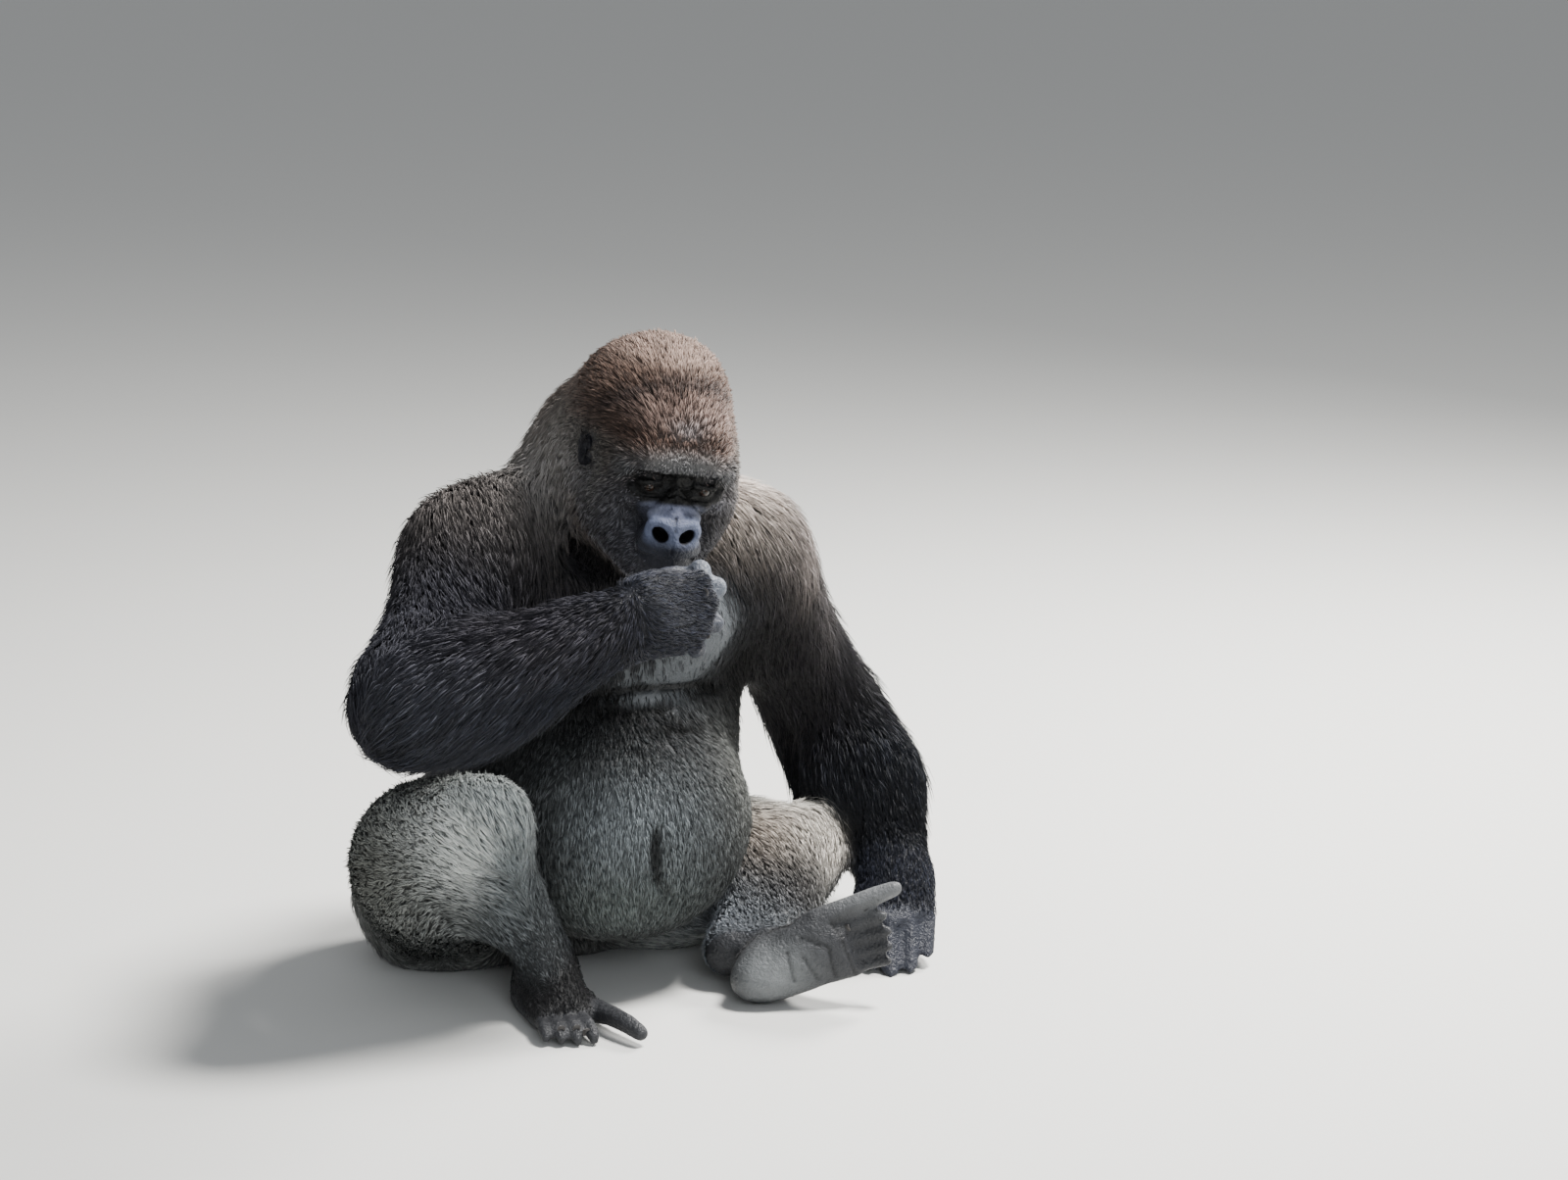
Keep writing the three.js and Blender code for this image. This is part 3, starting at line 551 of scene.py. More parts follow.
def wrinkles(p):
    cut = groove(p, (128, 0, -44), (140, 0, -60), 3.0, 2.0)
    cut += groove(p, (148, 0, -62), (140, 0, -96), 2.2, 2.0)
    cut += groove(p, (118, 0, 50), (116, 0, 20), 3.0, 1.6)
    for s in (-1, 1):
        cut += groove(p, (108, 3 * s, 0), (108, 22 * s, -16), 1.9, 2.2)
        cut += groove(p, (112, 3 * s, -10), (108, 24 * s, -28), 1.9, 2.4)
        cut += groove(p, (116, 4 * s, -21), (112, 24 * s, -38), 1.9, 2.2)
        cut += groove(p, (120, 8 * s, -32), (118, 24 * s, -45), 1.7, 1.6)
        cut += groove(p, (104, 24 * s, -20), (96, 52 * s, -23), 1.8, 1.8)
        cut += groove(p, (102, 30 * s, -39), (90, 60 * s, -42), 2.4, 2.2)
        cut += groove(p, (108, 38 * s, -46), (92, 60 * s, -60), 2.6, 2.0)
        cut += groove(p, (120, 46 * s, -62), (104, 54 * s, -98), 3.2, 3.0)
        cut += groove(p, (117, 16 * s, 50), (114, 10 * s, 22), 2.6, 1.4)
        cut += groove(p, (122, 14 * s, -92), (124, 20 * s, -104), 1.8, 1.0)
    return 1.35 * cut


def face_field(p):
    field = join([skull(p), features(p)], 4.0)
    for s in (-1, 1):
        field = carve(field, egg(p, (112, 44 * s, 2), (26, 39, 17)), 3.5)
    field = join([field, lids(p)], 2.5) + wrinkles(p)
    for s in (-1, 1):
        field = join([field, nose_rim(p, s)], 2.6)
        field = join([field, ear(p, s)], 2.0)
    for s in (-1, 1):
        field = carve(field, almond(p, s), 0.7)
        field = carve(field, nostril(p, s), 1.6)
    return carve(field, mouth_line(p), 1.4)


CORNERS = np.array([[1, 1, 1], [1, -1, -1], [-1, 1, -1], [-1, -1, 1]], np.float32)


def value_and_slope(field, p, reach=0.4):
    """From the field's values on the corners of a small tetrahedron."""
    total, slope = 0.0, np.zeros_like(p)
    for corner in CORNERS:
        value = field(p + corner * reach)
        total = total + value / 4
        slope += value[:, None] * corner / (4 * reach)
    return total, slope


def near_ears(q, radii):
    """Negative inside a pair of eggs round the ears."""
    return np.minimum(*(egg(ear_places(q, s), (0, 0, 0), radii) for s in (-1, 1)))


def face_share(q):
    """1 on the bare face and ears, 0 where the rough skin stays as it is."""
    front = egg(q, (112, 0, -48), (86, 78, 118))
    ears = near_ears(q, (24, 18, 34))
    low = step(-178.0, -140.0, q[:, 2])
    return np.maximum(step(10.0, -14.0, front) * low, step(6.0, -3.0, ears))


SHAPING_ROUNDS = 11


def sunken(places):
    """Pushes the skin down into the nostrils."""
    deep, wide, high = NOSTRIL_RADII
    for s in (-1, 1):
        q = nostril_plane(places, s)
        reach = np.hypot((q[:, 1] + 0.5) / wide, (q[:, 2] + 0.5) / high)
        inside = (reach < 0.96) & (np.abs(q[:, 0] - 6) < 22)
        down = q[inside, 0] - 2 + deep * np.sqrt(1 - reach[inside] ** 2)
        places[inside] -= down[:, None] * nostril_way(s)
    return places


def shaped_face(points, triangles, share):
    """The vertices near the face slide on to its fine form and spread out over it."""
    active = np.flatnonzero(share > 0.001)
    web = Web(len(points), edges_of(triangles, len(points)))
    places = sunken(to_head(points)).astype(np.float32)
    weight = share[active][:, None].astype(np.float32)
    for round_ in range(SHAPING_ROUNDS):
        p = places[active]
        drift = web.mean(places)[active] - p
        value, slope = value_and_slope(face_field, p)
        along = unit(slope)
        drift -= (drift * along).sum(axis=1, keepdims=True) * along
        steep = np.maximum((slope**2).sum(axis=1), 0.05)
        push = np.clip(value / steep, -4.0, 4.0)[:, None] * slope
        if round_ >= SHAPING_ROUNDS - 2:
            drift *= 0
        places[active] = p + weight * (0.6 * drift - push)
    return from_head(places)


# ---------------------------------------------------------------- the skin


def zone_of_fine_work(q):
    front = egg(q, (112, 0, -48), (84, 76, 112)) < 0
    ears = near_ears(q, (22, 16, 32)) < 0
    return (front & (q[:, 2] > -150)) | ears


def zone_of_finest_work(q):
    eyes = (np.abs(q[:, 1]) < 62) & (q[:, 2] > -32) & (q[:, 2] < 12) & (q[:, 0] > 76)
    nose = (np.abs(q[:, 1]) < 50) & (q[:, 2] > -112) & (q[:, 2] < -34) & (q[:, 0] > 96)
    return eyes | nose


def skin_surface():
    start, triangles, edges = rough_skin()
    web = Web(len(start), edges)
    labels = nearest_nodes(start)
    rounds = web.spread(per_node(SMOOTHING)[labels], 16)
    points = smoothed(start, web, rounds)
    points = swollen_back(points, start, triangles, web)
    on_head = web.spread(of_kind(labels, *HEAD_KINDS), 2)
    dense = of_kind(labels, "hand", "foot", "ear", *DIGITS).astype(float)
    keep = web.spread(np.maximum(dense, face_share(to_head(points)) * on_head), 4)
    points, triangles = thinned(points, triangles, keep)
    for zone in (zone_of_fine_work, zone_of_finest_work):
        middle = to_head(points[triangles].mean(axis=1))
        points, triangles = refined(points, triangles, zone(middle))
    web = Web(len(points), edges_of(triangles, len(points)))
    on_head = web.spread(of_kind(nearest_nodes(points), *HEAD_KINDS), 3)
    share = face_share(to_head(points)) * step(0.3, 0.9, on_head)
    points = shaped_face(points, triangles, share)
    return points, triangles


# ---------------------------------------------------------------- fields over the skin

def lie_on_head(points):
    q = to_head(points)
    back = np.tile([-1.0, 0.0, -0.15], (len(q), 1))
    back[:, 2] -= 1.3 * step(60, -60, q[:, 2])
    back[:, 2] += 0.55 * step(30, 80, q[:, 2]) * step(20, 90, q[:, 0])
    back[:, 2] -= 0.9 * step(0, -90, q[:, 0])
    back[:, 1] += 0.5 * np.sign(q[:, 1]) * step(20, -40, q[:, 2])
    return back @ HEAD_AXES


def lie_of(name, points):
    """The way the hair points on a node, before it is laid flat on the skin."""
    kind, side = kind_of(name), side_of(name)
    if kind in HEAD_KINDS:
        return lie_on_head(points)
    if kind in ("neck", "chest", "abdomen", "pelvis"):
        outward = unit((points - centre(name)) * [1, 1, 0])
        return DOWN + 0.3 * outward
    if kind == "upper_arm":
        return unit(centre(f"forearm_{side}") - centre(name)) + 0.5 * DOWN
    if kind == "forearm":
        towards_elbow = unit(centre(name) - centre(f"hand_{side}"))
        return 0.5 * DOWN + (towards_elbow if side == "right" else -towards_elbow)
    if kind in ("hand", "finger", "thumb"):
        return HANDS[side][0] + 0.2 * DOWN
    if kind == "thigh":
        return unit(centre(f"shin_{side}") - centre("pelvis"))
    if kind == "shin":
        return unit(centre(f"foot_{side}") - centre(f"thigh_{side}")) + 0.3 * DOWN
    return FEET[side][0]


def bare_face(q):
    face = np.minimum(egg(q, (104, 0, -56), (60, 58, 88)), egg(q, (98, 0, -6), (30, 88, 29)))
    brow = 0.3 * step(16.0, -10.0, egg(q, (104, 0, 32), (28, 74, 20)))
    return np.maximum(step(7.0, -6.0, face), brow)


def on_hands(points, labels, side):
    """How far along a hand each vertex lies from the line of the knuckles, in metres."""
    mine = (labels == FLESH.index(f"hand_{side}")) | of_kind(labels, "finger", "thumb")
    mine &= size_of(points - centre(f"hand_{side}")) < 0.2
    return mine, (points - KNUCKLES[side].mean(axis=0)) @ HANDS[side][0]


def at_knuckles(points, side, reach):
    return np.maximum.reduce([near(points, place, (reach,) * 3) for place in KNUCKLES[side]])


def bareness(points, normals, labels):
    """1 where the skin is bare: the face, ears, palms, soles, knuckles and digits."""
    bare = bare_face(to_head(points)) * of_kind(labels, *HEAD_KINDS)
    bare[of_kind(labels, "ear")] = 0.9
    bare[of_kind(labels, *DIGITS)] = 0.95
    for side in SIDES:
        mine, along = on_hands(points, labels, side)
        round_knuckles = step(0.35, 0.8, at_knuckles(points, side, 0.027))
        ends = 0.93 * np.maximum(step(-0.020, 0.010, along), round_knuckles)
        bare[mine] = np.maximum(ends, bare)[mine]
    for side in SIDES:
        for part, out, edge in (("hand", HANDS[side][1], 0.1), ("foot", FEET[side][1], 0.2)):
            mine = labels == FLESH.index(f"{part}_{side}")
            bare[mine] = np.maximum(step(edge, edge - 0.35, normals[mine] @ out), bare[mine])
    arc = [near(points, place_in("chest", *place), (0.06, 0.12, 0.06)) for place in PECTORAL]
    pectoral = np.maximum.reduce(arc) * of_kind(labels, "chest")
    return np.maximum(bare, 0.93 * step(0.05, 0.75, pectoral))


def taper(points, labels):
    """The coat thins towards the hands and feet."""
    share = np.ones(len(points))
    for side in SIDES:
        limbs = (("forearm", "hand", 0.07, 0.20), ("shin", "foot", 0.09, 0.18))
        for limb, end, inner, outer in limbs:
            mine = labels == FLESH.index(f"{limb}_{side}")
            away = size_of(points - centre(f"{end}_{side}"))
            share[mine] = mix(0.25, 1.0, step(inner, outer, away))[mine]
    return share


# The bare edge of the pectoral muscle, in the chest's box.
PECTORAL = [
    (0.62, 0.1, 0.22),
    (0.68, 0.05, 0.30),
    (0.71, 0.05, 0.38),
    (0.71, 0.05, 0.48),
    (0.50, 0.1, 0.20),
]

# Folds of the trunk: where each one starts and ends in a node's box, its width and depth in mm.
FOLDS = [
    ("chest", (0.24, 0.0, 0.125), (0.50, 0.0, 0.135), 6, 9),
    ("chest", (0.50, 0.0, 0.135), (0.78, 0.0, 0.095), 6, 9),
    ("chest", (0.34, 0.0, 0.075), (0.58, 0.0, 0.055), 5, 6),
    ("abdomen", (0.54, 0.0, 0.80), (0.74, 0.0, 0.78), 6, 6),
    ("abdomen", (0.50, 0.0, 0.52), (0.50, 0.0, 0.33), 6, 8),
    ("abdomen", (0.50, 0.0, 0.33), (0.56, 0.0, 0.24), 5, 5),
]
# Creases of the sole, measured from the root of the third toe: along the foot and across it, in mm.
CREASES = [
    ((-6, -52), (-6, 12)),
    ((-6, 12), (-14, 36)),
    ((-36, -44), (-30, 6)),
    ((-30, 6), (-66, 34)),
    ((-62, -38), (-70, 2)),
    ((-96, -28), (-92, 20)),
]


def trunk_folds(points, normals):
    """How much the folds under the chest and at the navel lower the skin, in mm."""
    cut = np.zeros(len(points))
    flat = np.array([1.0, 0.0, 1.0])
    for node, a, b, width, depth in FOLDS:
        ends = [place_in(node, *end) * flat / MM for end in (a, b)]
        cut = np.maximum(cut, groove(points * flat / MM, *ends, width, depth))
    return cut * step(0.1, 0.5, -normals[:, 1])


def knuckle_grooves(points, labels, side):
    """The hollows between the knuckles."""
    mine, _ = on_hands(points, labels, side)
    cut = np.zeros(mine.sum())
    for a, b in zip(KNUCKLES[side][:-1], KNUCKLES[side][1:]):
        ends = [(a + b) / 2 / MM + HANDS[side][0] * reach for reach in (26, -34)]
        cut = np.maximum(cut, groove(points[mine] / MM, *ends, 6.0, 5.0))
    whole = np.zeros(len(points))
    whole[mine] = cut
    return whole


def sole_creases(points, normals, labels, side):
    """The lines that cross the sole."""
    forward, top = FEET[side]
    across = np.cross(top, forward) * -SIDES[side]
    mine = of_kind(labels, "foot", *TOES) & (normals @ top < -0.1)
    away = (points[mine] - root_of(f"toe_3_{side}", f"foot_{side}")) / MM
    flat = np.stack([away @ forward, away @ across], axis=1)
    whole = np.zeros(len(points))
    whole[mine] = np.maximum.reduce([groove(flat, a, b, 2.6, 2.4) for a, b in CREASES])
    return whole


def folds(points, normals, labels):
    cuts = [trunk_folds(points, normals)]
    for side in SIDES:
        cuts.append(knuckle_grooves(points, labels, side))
        cuts.append(sole_creases(points, normals, labels, side))
    return np.maximum.reduce(cuts)


# ---------------------------------------------------------------- colours

# Linear colours of the coat's dark and light hairs, and the share of light ones.
HUES = {
    "head": ((0.038, 0.024, 0.019), (0.135, 0.087, 0.067), 0.5),
    "jaw": ((0.020, 0.020, 0.024), (0.13, 0.13, 0.15), 0.42),
    "ear": ((0.006, 0.006, 0.008), (0.02, 0.022, 0.03), 0.15),
    "neck": ((0.018, 0.015, 0.013), (0.090, 0.074, 0.066), 0.45),
    "chest": ((0.006, 0.006, 0.007), (0.026, 0.026, 0.029), 0.30),
    "abdomen": ((0.022, 0.023, 0.023), (0.100, 0.106, 0.108), 0.42),
    "pelvis": ((0.045, 0.045, 0.044), (0.17, 0.17, 0.165), 0.5),
    "upper_arm": ((0.0060, 0.0056, 0.0068), (0.024, 0.022, 0.027), 0.30),
    "forearm": ((0.0036, 0.0044, 0.0068), (0.015, 0.018, 0.028), 0.28),
    "hand": ((0.005, 0.006, 0.010), (0.030, 0.034, 0.052), 0.28),
    "thigh": ((0.125, 0.132, 0.125), (0.46, 0.475, 0.45), 0.48),
    "shin": ((0.035, 0.039, 0.042), (0.17, 0.185, 0.195), 0.42),
    "foot": ((0.009, 0.009, 0.010), (0.05, 0.05, 0.052), 0.3),
}
HUES.update({kind: HUES["foot" if kind in TOES else "hand"] for kind in DIGITS})

# Patches of other hair, and of painted light and painted shade: the node and the place in its box,
# their reach in metres, the light hairs' colour and share.
PATCHES_OF_HAIR_AND_LIGHT = [
    ("neck", (0.12, 0.42, 0.58), (0.07, 0.11, 0.08), (0.45, 0.43, 0.41), 0.75),
    # silver hair with painted light: the sunlit top and outer side of the right knee and thigh
    ("shin_right", (0.30, 0.20, 1.0), (0.08, 0.10, 0.10), (0.92, 0.98, 0.96), 0.95),
    ("shin_right", (0.02, 0.23, 0.73), (0.06, 0.10, 0.09), (0.80, 0.83, 0.80), 0.92),
    ("thigh_right", (0.2, 0.18, 0.85), (0.06, 0.09, 0.08), (0.74, 0.76, 0.74), 0.85),
    ("shin_right", (0.42, 0.02, 0.55), (0.05, 0.08, 0.16), (0.17, 0.20, 0.215), 0.5),
    # painted shade on the inner side of the right knee, next to the belly
    ("shin_right", (0.90, 0.35, 0.85), (0.045, 0.12, 0.12), (0.03, 0.03, 0.03), 0.2),
    ("thigh_right", (0.03, 0.46, 0.5), (0.06, 0.12, 0.14), (0.22, 0.225, 0.20), 0.5),
    ("thigh_right", (0.34, 0.6, 0.05), (0.20, 0.20, 0.07), (0.085, 0.09, 0.085), 0.32),
    # painted light: the sunlit top of the left knee
    ("shin_left", (0.68, 0.60, 1.0), (0.08, 0.10, 0.055), (0.98, 0.90, 0.80), 0.98),
    ("shin_left", (0.45, 0.55, 0.95), (0.05, 0.10, 0.05), (0.55, 0.40, 0.29), 0.8),
    ("shin_left", (0.86, 0.64, 0.78), (0.06, 0.10, 0.05), (0.95, 0.87, 0.77), 0.97),
    # painted shade in the middle of the left shin, between thigh and foot
    ("shin_left", (0.52, 0.47, 0.55), (0.06, 0.08, 0.06), (0.085, 0.074, 0.066), 0.4),
    ("shin_left", (0.05, 0.38, 0.24), (0.12, 0.15, 0.08), (0.27, 0.295, 0.33), 0.5),
    # painted light: the sunlit top and outer side of the left shoulder and upper arm
    ("upper_arm_left", (0.29, 0.16, 0.98), (0.10, 0.13, 0.075), (0.97, 0.84, 0.74), 0.97),
    ("upper_arm_left", (0.477, 0.14, 0.785), (0.035, 0.10, 0.07), (0.44, 0.38, 0.355), 0.65),
    ("upper_arm_left", (0.607, 0.3, 0.59), (0.02, 0.10, 0.07), (0.20, 0.18, 0.18), 0.5),
    # brown hair on the top of the right shoulder, with a painted sheen
    ("upper_arm_right", (0.57, 0.6, 0.95), (0.16, 0.16, 0.06), (0.17, 0.150, 0.14), 0.5),
    ("upper_arm_right", (0.35, 0.1, 0.5), (0.16, 0.20, 0.16), (0.058, 0.061, 0.078), 0.6),
    ("forearm_right", (0.5, 0.1, 0.85), (0.20, 0.20, 0.05), (0.055, 0.050, 0.060), 0.4),
    # painted shade on the low side of the left forearm
    ("forearm_left", (0.45, 0.3, 0.35), (0.12, 0.20, 0.12), (0.008, 0.009, 0.012), 0.2),
    # painted light on the lit right side of the belly
    ("abdomen", (0.86, 0.15, 0.66), (0.07, 0.12, 0.12), (0.18, 0.184, 0.170), 0.55),
    ("abdomen", (0.42, 0.03, 0.50), (0.13, 0.12, 0.10), (0.22, 0.25, 0.27), 0.60),
    ("abdomen", (0.40, 0.03, 0.22), (0.12, 0.12, 0.06), (0.16, 0.19, 0.185), 0.5),
    # painted shadow of the chest and arm on the upper belly
    ("abdomen", (0.40, 0.10, 0.84), (0.18, 0.14, 0.06), (0.008, 0.008, 0.009), 0.1),
    # painted shade between the right shin and the belly
    ("abdomen", (0.12, 0.12, 0.42), (0.06, 0.14, 0.16), (0.02, 0.02, 0.02), 0.15),
    ("chest", (0.64, 0.04, 0.32), (0.10, 0.12, 0.11), (0.11, 0.118, 0.13), 0.6),
    # painted shade under the left arm, on the side of the chest
    ("chest", (0.87, 0.28, 0.18), (0.04, 0.10, 0.12), (0.007, 0.007, 0.007), 0.08),
]
# The kinds of node that a patch may run on to.
FAMILIES = [
    ("thigh", "shin"),
    ("chest", "abdomen", "pelvis"),
    ("neck", "upper_arm", "forearm", "head", "jaw"),
]


def painted(points, labels, node, place, reach):
    """How much of a patch lies on each vertex."""
    family = next(f for f in FAMILIES if kind_of(node) in f)
    return near(points, place_in(node, *place), reach) * of_kind(labels, *family)


def head_hues(points, labels, dark, light, share):
    """Grizzled cheeks, the olive-grey brow and the rusty crown with its darker bar, with painted light
    on the crown's top and the brow and painted shade on the far cheek.
    """
    q = to_head(points)
    on_head = of_kind(labels, *HEAD_KINDS).astype(float)

    def paint(where, dark_hair, light_hair, light_share):
        nonlocal dark, light, share
        where = np.clip(where, 0, 1) * on_head
        dark = mix(dark, np.array(dark_hair), where)
        light = mix(light, np.array(light_hair), where)
        share = mix(share, light_share, where)

    # brown-grey crown hair with painted light on the top of the head
    top = step(132, 160, q[:, 2])
    paint(top, (0.13, 0.093, 0.077), (0.29, 0.207, 0.170), 0.62)
    low = step(66, 86, q[:, 2]) * step(126, 110, q[:, 2]) * step(20, 60, q[:, 0])
    paint(0.8 * low, (0.068, 0.045, 0.038), (0.205, 0.142, 0.122), 0.55)
    paint(step(20, -30, q[:, 2]), (0.030, 0.030, 0.035), (0.19, 0.19, 0.215), 0.45)
    side = step(62, 96, np.abs(q[:, 1])) * step(-60, 10, q[:, 2]) * step(60, 30, q[:, 2])
    paint(0.8 * side, (0.018, 0.016, 0.015), (0.13, 0.118, 0.105), 0.45)
    bar = np.exp(-(((q[:, 2] - 131 + 0.004 * q[:, 1] ** 2) / 9) ** 2)) * step(0, 30, q[:, 0])
    paint(0.8 * bar, (0.018, 0.014, 0.014), (0.065, 0.045, 0.040), 0.3)
    grey = near(q, (88, 4, 78), (40, 26, 10))
    paint(0.9 * grey, (0.07, 0.064, 0.068), (0.27, 0.245, 0.25), 0.6)
    rust = np.exp(-(((q[:, 2] - 59) / 9) ** 2)) * step(30, 70, q[:, 0])
    paint(0.6 * rust, (0.022, 0.013, 0.011), (0.10, 0.056, 0.042), 0.38)
    # olive-grey brow hair with painted light on the ridge
    bend = q[:, 2] + 0.003 * q[:, 1] ** 2
    band = step(66, 34, bend) * step(10, 20, bend) * step(50, 80, q[:, 0])
    paint(0.85 * band, (0.056, 0.058, 0.062), (0.22, 0.228, 0.240), 0.5)
    # painted shade on the far cheek, the side turned from the light
    far_cheek = step(24, 60, q[:, 1]) * step(-30, -60, q[:, 2])
    paint(0.8 * far_cheek, (0.012, 0.012, 0.014), (0.075, 0.075, 0.085), 0.38)
    for s in (-1, 1):
        rim = near(q, (26, 100 * s, -30), (18, 22, 40))
        paint((0.55 - 0.25 * s) * rim, (0.03, 0.03, 0.028), (0.26, 0.255, 0.235), 0.6)
    return dark, light, share


def coat_hues(points, normals, labels, web):
    dark, light = (np.array([HUES[k][n] for k in KINDS])[labels] for n in (0, 1))
    share = np.array([HUES[k][2] for k in KINDS])[labels]
    dark, light, share = (web.spread(v, 40) for v in (dark, light, share))
    dark, light, share = head_hues(points, labels, dark, light, share)
    for node, place, reach, hue, more in PATCHES_OF_HAIR_AND_LIGHT:
        where = web.spread(painted(points, labels, node, place, reach), 10)
        light = mix(light, np.array(hue), where)
        dark = mix(dark, 0.42 * np.array(hue), where)
        share = mix(share, more, where)
    # the silver saddle over the back
    back = step(-0.2, 0.6, normals[:, 1]) * step(0.66, 0.42, points[:, 2])
    back = web.spread(back * of_kind(labels, "chest", "abdomen", "pelvis"), 12)
    light = mix(light, np.array([0.40, 0.40, 0.385]), back)
    dark = mix(dark, np.array([0.15, 0.15, 0.145]), back)
    share = mix(share, 0.66, back)
    return dark, light, np.clip(share, 0.02, 0.95)


def face_flesh(q):
    """The bare face: blue-grey nose with painted sky light on its bridge and rims, olive brow, almost
    black eye sockets darkened further by painted shade under the brow, a lit and a shaded cheek beside
    the nose, and painted shade in the nostrils, mouth line and wrinkles.
    """
    flesh = np.tile([0.026, 0.027, 0.034], (len(q), 1))

    def paint(where, hue):
        nonlocal flesh
        flesh = mix(flesh, np.array(hue), np.clip(where, 0, 1))

    paint(step(16, 26, q[:, 2]), (0.060, 0.062, 0.060))
    # blue-grey skin with painted sky light: the lit bridge of the nose
    paint(near(q, (112, 0, -36), (34, 32, 32)), (0.125, 0.138, 0.205))
    # painted shade on the left cheek beside the nose, and painted light on the right one
    paint(0.7 * near(q, (106, 34, -48), (22, 20, 16)), (0.055, 0.06, 0.08))
    paint(0.8 * near(q, (106, -34, -42), (24, 22, 20)), (0.115, 0.125, 0.175))
    # blue-grey skin of the nostril rims with painted sky light
    for s in (-1, 1):
        rim = nose_rim(q, s)
        paint(step(9, -4, rim), (0.118, 0.138, 0.210))
    # painted shade inside the nostrils
    for s in (-1, 1):
        paint(step(3.4, 1.2, nostril(q, s)), (0.002, 0.002, 0.002))
    paint(near(q, (120, 0, -100), (16, 40, 6)), (0.060, 0.066, 0.088))
    # painted shade in the line between the lips
    paint(step(1.5, -1.0, mouth_line(q)), (0.006, 0.006, 0.007))
    # the eye sockets' black skin, darkened further as painted shade under the brow
    bend = q[:, 2] + 0.0026 * q[:, 1] ** 2
    band = step(-31, -22, bend) * step(29, 20, bend) * step(58, 74, q[:, 0])
    paint(band * step(94, 78, np.abs(q[:, 1])), (0.002, 0.002, 0.002))
    # painted shade in the wrinkles
    return flesh * (1 - 0.8 * np.clip(wrinkles(q) / 3.2, 0, 1))[:, None]


def flesh_hues(points, labels):
    flesh = face_flesh(to_head(points))
    flesh[of_kind(labels, "ear")] = [0.006, 0.006, 0.009]
    digits = of_kind(labels, "finger", "thumb", "hand")
    flesh[digits] = [0.020, 0.022, 0.030]
    for side in SIDES:
        # pale knuckle skin with a painted highlight, strongest on the index and middle knuckles
        for place, pale_and_highlit in zip(KNUCKLES[side], (0.9, 1.0, 0.25, 0.1)):
            knuckle = near(points, place + HANDS[side][0] * 0.008, (0.022,) * 3)
            flesh[digits] = mix(flesh, np.array([0.17, 0.19, 0.225]), pale_and_highlit * knuckle)[digits]
    chest = of_kind(labels, "chest")
    flesh[chest] = [0.080, 0.088, 0.096]
    feet = of_kind(labels, "foot", *TOES)
    flesh[feet] = [0.026, 0.027, 0.030]
    heel = near(points, place_in("foot_left", 0.22, 0.1, 0.36), (0.06, 0.07, 0.05))
    flesh[feet] = mix(flesh, np.array([0.17, 0.18, 0.185]), heel)[feet]
    lit = near(points, place_in("big_toe_left", 0.6, 0.3, 0.9), (0.09, 0.08, 0.035))
    flesh[feet] = mix(flesh, np.array([0.13, 0.135, 0.14]), lit)[feet]
    return flesh


def skin_hues(points, labels, dark, light, share, bare, cut):
    coat = mix(dark, light, share) * 0.5
    hue = mix(coat, flesh_hues(points, labels), np.clip(1.35 * bare, 0, 1))
    # painted shade in the folds, grooves and creases
    return hue * (1 - 0.85 * np.clip(cut / 4, 0, 1))[:, None]


# ---------------------------------------------------------------- tufts


def loads(points, triangles, weight):
    """Each triangle's area times the weight on it."""
    a, b, c = (points[triangles[:, k]] for k in range(3))
    return size_of(np.cross(b - a, c - a)) / 2 * weight[triangles].mean(axis=1)


def scatter(load, count):
    """Random places on the triangles, denser where the load is larger."""
    total = np.cumsum(load)
    # evenly spaced draws leave no bald patches
    draws = (np.arange(count) + RANDOM.random(count)) / count * total[-1]
    face = np.searchsorted(total, draws).clip(0, len(load) - 1)
    u, v = RANDOM.random(count), RANDOM.random(count)
    flip = u + v > 1
    u[flip], v[flip] = 1 - u[flip], 1 - v[flip]
    return face, np.stack([1 - u - v, u, v], axis=1)


def unwrap(points):
    """Where each root lies on a cylinder wrapped round the piece's long axis, from 0 to 1."""
    low, high = points.min(axis=0), points.max(axis=0)
    middle, size = (low + high) / 2, high - low
    axis = int(np.argmax(size))
    others = [k for k in range(3) if k != axis]
    away = points - middle
    turn = np.arctan2(away[:, others[0]], away[:, others[1]]) / (2 * math.pi) + 0.5
    along = (away[:, axis] / size[axis] + 0.5).clip(0, 1)
    return np.stack([0.01 + 0.97 * turn, 0.01 + 0.97 * along], axis=1)


UV_PATCH = 0.003
WAIST = 0.42  # where along a tuft it is widest
ROOT_DEPTH = 1.2 * MM
FLOOR_CLEARANCE = 0.6 * MM
# A tuft is a root, three corners round its waist, and a tip.
TUFT_FACES = np.array([(1, 2, 0), (2, 3, 0), (3, 1, 0), (2, 1, 4), (3, 2, 4), (1, 3, 4)])
# painted shade darkens each tuft towards its root, deep in the coat, and painted light brightens its
# tip
TUFT_SHADE = np.array([0.5, 0.9, 0.9, 1.0, 1.2])
TUFT_UV = np.array([(0.5, 0.0), (0.0, 0.45), (1.0, 0.45), (0.5, 0.45), (0.5, 1.0)])


def nearest_skin(tree, points):
    found = [tree.find_nearest(p)[:2] for p in points.tolist()]
    return np.array([f[0] for f in found]), np.array([f[1] for f in found])


